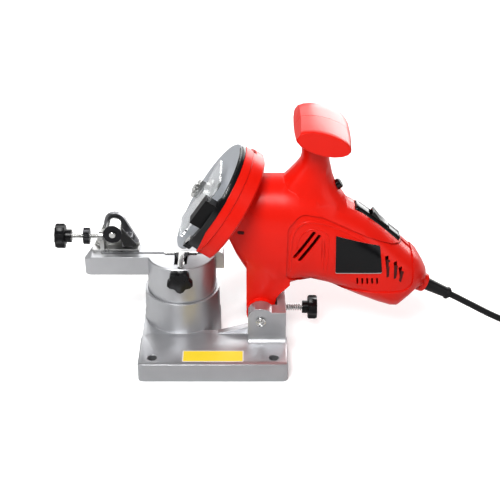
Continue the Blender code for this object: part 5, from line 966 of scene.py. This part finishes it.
@dataclass
class HousingTrim(Trim):
    """The housing's near face: the beads round its panel, and dark slabs in the mouths of its openings
    that are painted shade for their shadowed insides.
    """

    node: str = "housing_front"
    frame_line: Line = (
        (0.0704, 0.0830), (0.0701, 0.0950), (0.0701, 0.1089), (0.0712, 0.1200), (0.0746, 0.1279),
        (0.0806, 0.1330), (0.0876, 0.1345), (0.0984, 0.1325), (0.1093, 0.1285), (0.1184, 0.1240),
        (0.1320, 0.1160), (0.1440, 0.1090),
    )
    arch_line: Line = (
        (0.0752, 0.1020), (0.0765, 0.1141), (0.0790, 0.1215), (0.0843, 0.1259), (0.0896, 0.1275),
        (0.0959, 0.1262), (0.1030, 0.1225), (0.1039, 0.1118), (0.1036, 0.0961), (0.1036, 0.0835),
    )
    post_line: Line = (
        (0.0997, 0.1168), (0.0999, 0.1015), (0.1001, 0.0845),
    )
    vents: tuple[Line, ...] = (
        ((0.1570, 0.0955), (0.1603, 0.0943), (0.1602, 0.0782), (0.1580, 0.0773)),
        ((0.1645, 0.0890), (0.1678, 0.0881), (0.1669, 0.0760), (0.1648, 0.0755)),
        ((0.1712, 0.0828), (0.1739, 0.0814), (0.1716, 0.0712), (0.1697, 0.0731)),
    )
    vent_rounding: float = 0.0004
    screw_hole_shade: Line = (
        (0.0223, 0.1252), (0.0283, 0.1252), (0.0283, 0.1220), (0.0223, 0.1220),
    )
    screw_rounding: float = 0.0015

    def build(self) -> None:
        """Model the beads and the painted shade slabs."""
        for name, line, half_width, height in (
            ("panel_frame", self.frame_line, 0.0015, 0.0008),
            ("panel_arch", self.arch_line, 0.0006, 0.0006),
            ("panel_post", self.post_line, 0.0005, 0.0005),
        ):
            bead = surface_bead(name, self.node, line, half_width, height)
            self.add(bead, HOUSING_RED, Body.HEAD, "housing_red")
        # The dark slabs in the vents and the screw hole are painted shade for their shadowed insides.
        mouths = [(f"vent_painted_shade_{k + 1}", line, self.vent_rounding) for k, line in enumerate(self.vents)]
        mouths.append(("screw_hole_shade", self.screw_hole_shade, self.screw_rounding))
        for name, corners, rounding in mouths:
            mouth = painted_shade_slab(name, self.node, corners, rounding)
            self.add(mouth, PAINTED_OPENING_SHADE, Body.HEAD, "housing_red")


@dataclass
class SwitchBezel(Trim):
    """The switch's bezel, crowned across so that it follows the ridge, in place of the plain frame.

    Of its rings, the first and the last are its inner and outer skirt. A ring's share is its place
    between the hole, at 0, and the outer edge, at 1.
    """

    node: str = "switch_frame"
    half_length: float = 0.0265
    half_width: float = 0.0085
    hole_length: float = 0.0123
    hole_width: float = 0.0058
    corner: float = 0.0030
    hole_corner: float = 0.0006
    proud: float = 0.0008
    crown: float = 0.0020
    skirt: float = 0.0030
    edge_drop: float = 0.0004
    beside: float = 0.0010
    above: float = 0.05
    stations: int = 12
    corner_points: int = 14
    shares: tuple[float, ...] = (0.0, 0.0, 0.25, 0.5, 0.75, 0.94, 1.0, 1.0)

    def ridge_place(self) -> tuple[Vector, Vector, Vector]:
        """Find where the plain frame sits.

        Returns:
            The middle of the ridge under the switch, the way down it and the way out of it.
        """
        mesh = frame["nodes"][self.node].data
        face = max(mesh.polygons, key=lambda polygon: polygon.normal.z * polygon.area)
        out = face.normal.copy()
        run = Vector((out.z, 0, -out.x)).normalized()
        low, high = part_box(self.node)
        tops = [vert.co for vert in mesh.vertices if abs((vert.co - face.center).dot(out)) < 0.00001]
        along = [point.dot(run) for point in tops]
        middle = run * ((min(along) + max(along)) / 2) + out * (face.center.dot(out) - self.crown)
        middle.y = (low.y + high.y) / 2
        return middle, run, out

    def ridge_heights(self, centre: Vector, run: Vector, out: Vector) -> list[float]:
        """Measure the ridge beside the bezel at each station along it.

        Args:
            centre: the middle of the ridge under the switch.
            run: the way down the ridge.
            out: the way out of it.

        Returns:
            The heights over the centre, each the mean of both sides.
        """
        trees = [surface_of("housing_front"), surface_of("housing_rear")]
        heights = []
        for k in range(self.stations + 1):
            sides = []
            for way in (FAR, NEAR):
                start = centre + run * self.half_length * (2 * k / self.stations - 1)
                start += way * (self.half_width + self.beside) + out * self.above
                hits = [tree.ray_cast(start, -out)[0] for tree in trees]
                sides.append(max((hit - centre).dot(out) for hit in hits if hit is not None))
            heights.append(sum(sides) / 2)
        return heights

    def outline(self, share: float) -> list[Vector]:
        """Give a ring's rounded rectangle.

        Args:
            share: the ring's place, from 0 to 1.

        Returns:
            Its points, with X along the ridge and Y across it.
        """
        length = self.hole_length + (self.half_length - self.hole_length) * share
        width = self.hole_width + (self.half_width - self.hole_width) * share
        radius = self.hole_corner + (self.corner - self.hole_corner) * share
        made = []
        for quarter, (x, y) in enumerate(((1, 1), (-1, 1), (-1, -1), (1, -1))):
            centre = Vector((x * (length - radius), y * (width - radius), 0))
            for k in range(self.corner_points):
                angle = math.pi / 2 * (quarter + k / (self.corner_points - 1))
                made.append(centre + Vector((math.cos(angle), math.sin(angle), 0)) * radius)
        return made

    def height(self, point: Vector, edges: list[float]) -> float:
        """Give the bezel's top at a place of its outline.

        Args:
            point: the place.
            edges: the ridge's heights at the stations.

        Returns:
            The height over the centre.
        """
        station = (point.x / self.half_length + 1) * self.stations / 2
        k = min(self.stations - 1, max(0, int(station)))
        edge = edges[k] + (edges[k + 1] - edges[k]) * (station - k) + self.proud
        return self.crown + (edge - self.crown) * (point.y / self.half_width) ** 2

    def build(self) -> None:
        """Model the bezel on the ridge."""
        centre, run, out = self.ridge_place()
        edges = self.ridge_heights(centre, run, out)
        data = bmesh.new()
        rings = []
        for k, share in enumerate(self.shares):
            sunk = self.edge_drop if share == 1.0 else 0.0
            if k in (0, len(self.shares) - 1):
                sunk += self.skirt
            ring = []
            for point in self.outline(share):
                top = out * (self.height(point, edges) - sunk)
                ring.append(data.verts.new(centre + run * point.x + FAR * point.y + top))
            rings.append(ring)
        skin(data, rings, closed=True)
        bezel = piece_from("switch_bezel", data, 40.0)
        self.add(bezel, SWITCH_BLACK, Body.HEAD, "switch_black", self.node)


@dataclass
class CordSleeve(Trim):
    """The smooth sleeve over the lead's root, and the housing's boss round it.

    Each profile gives the distance from the sleeve's axis and the height along it.
    """

    sleeve: Line = (
        (0.0000, 0.0310), (0.0036, 0.0310), (0.0044, 0.0303), (0.0046, 0.0292), (0.0058, 0.0288),
        (0.0060, 0.0280), (0.0058, 0.0268), (0.0050, 0.0262), (0.0055, 0.0150), (0.0060, 0.0040),
        (0.0062, -0.0100), (0.0000, -0.0100),
    )
    boss: Line = (
        (0.0064, 0.0030), (0.0080, 0.0032), (0.0088, 0.0026), (0.0092, 0.0008), (0.0094, -0.0030),
        (0.0064, -0.0030),
    )

    def build(self) -> None:
        """Model the sleeve and the boss."""
        place = facing(SLEEVE_WAY, SLEEVE_ROOT)
        sleeve = revolved("cord_sleeve", self.sleeve, place, steps=32)
        self.add(sleeve, PLUG_RUBBER, Body.HEAD, "cord_rubber", "strain_relief")
        boss = revolved("cord_boss", self.boss, place, steps=40)
        self.add(boss, HOUSING_RED, Body.HEAD, "housing_red")


# The turntable's clamp and stop


@dataclass
class ClampTee(Trim):
    """The clamp's bright bar over the chain, with the strip that runs from it to the knob."""

    bar: tuple[float, float] = (-0.0462, -0.0154)
    back: float = 0.0609
    front: float = 0.0577
    bottom: float = 0.0854
    bar_rise: float = 0.00075
    pad: tuple[float, float] = (-0.0372, -0.0228)
    pad_bottom: float = 0.0860
    pad_rise: float = 0.0010
    strip: tuple[float, float] = (-0.0325, -0.0275)
    strip_bottom: float = 0.08645
    strip_rise: float = 0.0007
    strip_front: float = 0.0310
    # Painted shade: a black sheet either side of the strip, where the T's fillets lie in shadow.
    shade_band: tuple[float, float] = (-0.0368, -0.0232)
    shade_band_foot: tuple[float, float] = (-0.0333, -0.0267)
    shade_band_rise: float = 0.0004
    shade_band_end: float = 0.0470
    rounding: float = 0.0005

    def build(self) -> None:
        """Model the bar, its pad, the strip, and a black sheet beside the strip that is painted shade for
        the shadowed fillets of the T.

        The bar stays low because the wheel comes down over its left end.
        """
        front = self.front
        strip = self.strip_bottom
        for name, first, last, start, end, bottom, rise in (
            ("clamp_bar", self.bar, self.bar, front, self.back, self.bottom, self.bar_rise),
            ("clamp_pad", self.pad, self.pad, front, self.back, self.pad_bottom, self.pad_rise),
            ("clamp_painted_shade", self.shade_band, self.shade_band_foot, front, self.shade_band_end, strip, self.shade_band_rise),
            ("clamp_strip", self.strip, self.strip, self.strip_front, front, strip, self.strip_rise),
        ):
            outline = ((first[0], start), (first[1], start), (last[1], end), (last[0], end))
            slab = flat_slab(name, [Vector((x, y, bottom)) for x, y in outline], UP, rise, self.rounding)
            # The black sheet beside the strip is painted shade.
            dark = name == "clamp_painted_shade"
            finish, slot = (BLACK_OXIDE, "blackened_steel") if dark else (ZINC, "zinc_steel")
            self.add(slab, finish, Body.CLAMP_PLATE, slot)


@dataclass
class StopShadeSheet(Trim):
    """A black sheet on the near side of the chain stop's bracket, under its sloping edge: painted shade
    for the bracket's shadowed inner face.
    """

    back: float = 0.0563
    thickness: float = 0.0007
    rounding: float = 0.0004
    corners: Line = (
        (-0.0850, 0.1135), (-0.0838, 0.1137), (-0.0712, 0.0966), (-0.0712, 0.0950),
        (-0.0826, 0.0940), (-0.0855, 0.1010),
    )

    def build(self) -> None:
        """Model the painted shade sheet."""
        points = [Vector((x, self.back, z)) for x, z in self.corners]
        # This black sheet is painted shade for the bracket's shadowed inner face.
        shade_band = flat_slab("stop_painted_shade", points, NEAR, self.thickness, self.rounding)
        self.add(shade_band, SWITCH_BLACK, Body.TABLE, "blackened_steel")


# The hinge and the base


@dataclass
class PinHead(Trim):
    """The rings turned into the hinge pin's head; the profile gives radius and height over it."""

    place: Point = (0.0435, 0.0103, 0.0405)
    profile: Line = (
        (0.0046, -0.0002), (0.0046, 0.0004), (0.0042, 0.0007), (0.0036, 0.0004), (0.0034, 0.00005),
        (0.0026, 0.00005), (0.0024, 0.0006), (0.0018, 0.0010), (0.0000, 0.0012), (0.0000, -0.0002),
    )

    def build(self) -> None:
        """Model the rings."""
        rings = revolved("pin_rings", self.profile, facing(NEAR, Vector(self.place)), steps=32)
        self.add(rings, ZINC, Body.BASE, "zinc_steel")


@dataclass
class BenchSticker(Trim):
    """The bare yellow sticker on the bolt bar's top."""

    top_z: float = 0.0185
    left: float = -0.0279
    right: float = 0.0277
    front: float = -0.0203
    rear: float = -0.0032
    margin: float = 0.0009
    thickness: float = 0.00012
    rounding: float = 0.0010

    def build(self) -> None:
        """Model the sticker: a pale margin and, on it, a yellow field."""
        for name, inset, lift, finish in (
            ("sticker_margin", 0.0, 0.0, STICKER_EDGE),
            ("sticker_field", self.margin, self.thickness, STICKER_YELLOW),
        ):
            left, right = self.left + inset, self.right - inset
            front, rear = self.front + inset, self.rear - inset
            outline = ((left, front), (right, front), (right, rear), (left, rear))
            corners = [Vector((x, y, self.top_z + lift)) for x, y in outline]
            slab = flat_slab(name, corners, UP, self.thickness, self.rounding)
            self.add(slab, finish, Body.BASE, "cast_silver")


# Studio


@dataclass
class Studio:
    """The pale floor, the soft lights and the camera at the photograph's angle."""

    camera_place: Point = (0.0335, -0.8629, 0.6296)
    camera_way: Point = (0.0, 0.8625, -0.5060)
    lens: float = 82.8
    sensor_width: float = 36.0
    clip_start: float = 0.01
    floor_size: float = 14.0
    floor_drop: float = 0.0002
    shade: float = 0.20
    floor_bounce: float = 0.62
    lights: tuple[tuple[str, Point, Point, float, float, float], ...] = (
        ("key softbox", (-0.30, -0.75, 1.30), (0.03, 0.05, 0.10), 0.7, 0.7, 20.0),
        ("back softbox", (0.20, 1.60, 1.10), (0.05, 0.05, 0.08), 2.6, 1.2, 20.0),
        ("rim softbox", (0.86, 1.60, 0.42), (0.10, 0.06, 0.15), 1.3, 1.0, 18.0),
        ("right fill", (1.25, -0.75, 0.55), (0.05, 0.05, 0.10), 0.8, 0.8, 2.5),
        ("left fill", (-1.25, -0.45, 0.40), (0.00, 0.05, 0.10), 0.8, 0.8, 2.0),
    )

    def build(self) -> None:
        """Lay the floor and hang the lights and the camera."""
        data = bmesh.new()
        bmesh.ops.create_grid(data, x_segments=1, y_segments=1, size=self.floor_size / 2)
        floor = piece_from("floor", data)
        floor.location.z = -self.floor_drop
        floor.data.materials.append(self._floor_material())
        for name, place, aim, width, height, power in self.lights:
            lamp = bpy.data.lights.new(name, "AREA")
            lamp.shape = "RECTANGLE"
            lamp.size = width
            lamp.size_y = height
            lamp.energy = power
            self._hang(lamp, place, Vector(aim) - Vector(place))
        self._light_room()
        scene = bpy.context.scene
        scene.view_settings.view_transform = "Standard"
        scene.view_settings.look = "Medium High Contrast"
        camera = bpy.data.cameras.new("camera")
        camera.lens = self.lens
        camera.sensor_width = self.sensor_width
        camera.clip_start = self.clip_start
        scene.camera = self._hang(camera, self.camera_place, Vector(self.camera_way))

    @staticmethod
    def _hang(data: bpy.types.ID, place: Point, way: Vector) -> Thing:
        """Hang a lamp or a camera.

        Args:
            data: the lamp or the camera.
            place: where it hangs.
            way: which way it points.

        Returns:
            Its object.
        """
        thing = put(data.name, data)
        thing.location = place
        thing.rotation_euler = way.to_track_quat("-Z", "Y").to_euler()
        return thing

    def _floor_material(self) -> Material:
        """Make the floor: white where it is seen, greyer where it lights the object from below.

        Returns:
            The floor's material.
        """
        material = bpy.data.materials.new("floor white")
        material.use_nodes = True
        tree = material.node_tree
        seen = tree.nodes["Principled BSDF"]
        look = {
            "Base Color": (0.92, 0.92, 0.92, 1.0), "Roughness": 0.45, "Specular IOR Level": 0.25,
            "Emission Color": (1.0, 1.0, 1.0, 1.0), "Emission Strength": 0.16,
        }
        wire(seen, look)
        grey = self.floor_bounce
        dim = add_node(tree, "ShaderNodeBsdfDiffuse", {"Color": (grey, grey, grey, 1.0)})
        rays = tree.nodes.new("ShaderNodeLightPath")
        mix = {"Fac": rays.outputs["Is Camera Ray"], 1: dim, 2: seen}
        wire(tree.nodes["Material Output"], {"Surface": add_node(tree, "ShaderNodeMixShader", mix)})
        return material

    def _light_room(self) -> None:
        """Make the room: white where it is seen, and dimmer as a light on the object."""
        world = bpy.data.worlds.new("studio")
        world.use_nodes = True
        tree = world.node_tree
        seen = tree.nodes["Background"]
        wire(seen, {"Color": (1.0, 1.0, 1.0, 1.0)})
        dim = add_node(tree, "ShaderNodeBackground", {"Strength": self.shade})
        rays = tree.nodes.new("ShaderNodeLightPath").outputs
        through = add_math(tree, "MAXIMUM", rays["Is Camera Ray"], rays["Is Transmission Ray"])
        mix = add_node(tree, "ShaderNodeMixShader", {"Fac": through, 1: dim, 2: seen})
        wire(tree.nodes["World Output"], {"Surface": mix})
        bpy.context.scene.world = world


# The whole model

NODE_FINISHES: tuple[tuple[Finish, tuple[str, ...]], ...] = (
    (CAST_SILVER, ("base_casting",)),
    (RAIL_SILVER, ("turntable",)),
    (HOUSING_RED, ("housing_front", "housing_rear", "wheel_guard")),
    (KNOB_BLACK, ("depth_knob", "clamp_knob", "stop_knob", "fan", "cord_tie")),
    (SHIELD_BLACK, ("shield_bracket",)),
    (SWITCH_BLACK, ("switch_frame", "switch_rocker", "lock_button")),
    (ZINC, (
        "hinge_pin", "swivel_bolt", "lock_washer", "swivel_lock_nut", "clamp_plate", "clamp_screw",
        "stop_pin", "pawl_spool", "stop_screw", "inner_flange", "outer_flange", "wheel_nut", "rotor_shaft",
        "clamp_collar", "front_bearing", "rear_bearing", "guard_screw", "housing_screw_1",
        "housing_screw_2", "housing_screw_3", "housing_screw_4",
    )),
    (SPRING_WIRE, ("return_spring", "depth_spring", "pawl_spring")),
    (BLACK_OXIDE, ("pin_circlip", "depth_screw", "stop_washer", "stop_lock_nut")),
    (PAWL_STEEL, ("pawl",)),
    (PLATED_SHEET, ("stop_bracket",)),
    (STONE, ("grinding_wheel",)),
    (CLEAR, ("clear_shield",)),
    (COPPER, ("commutator",)),
    (LAMINATION, ("rotor_core", "stator")),
    (CARBON, ("brush_left", "brush_right")),
    (PLUG_RUBBER, ("plug", "strain_relief")),
)


def main() -> None:
    """Build the studio and every piece of the sharpener."""
    logging.basicConfig(level=logging.INFO, format="%(name)s: %(message)s")
    shop = FinishShop()
    Studio().build()
    PowerCord(shop).build()
    for finish, names in NODE_FINISHES:
        shop.dress_nodes(finish, *names)
    for trim in (
        RatingPlate, BenchSticker, DepthSpring, GuardTrim, HousingTrim, SwitchBezel, CordSleeve, ClampTee,
        StopShadeSheet, PinHead,
    ):
        trim(shop).build()
    ThreadedRod(shop, "depth_screw", Body.DEPTH_SCREW, "blackened_steel", RIGHT).build()
    ThreadedRod(shop, "stop_screw", Body.STOP_SCREW, "zinc_steel", -RIGHT).build()


if __name__ == "__main__":
    main()
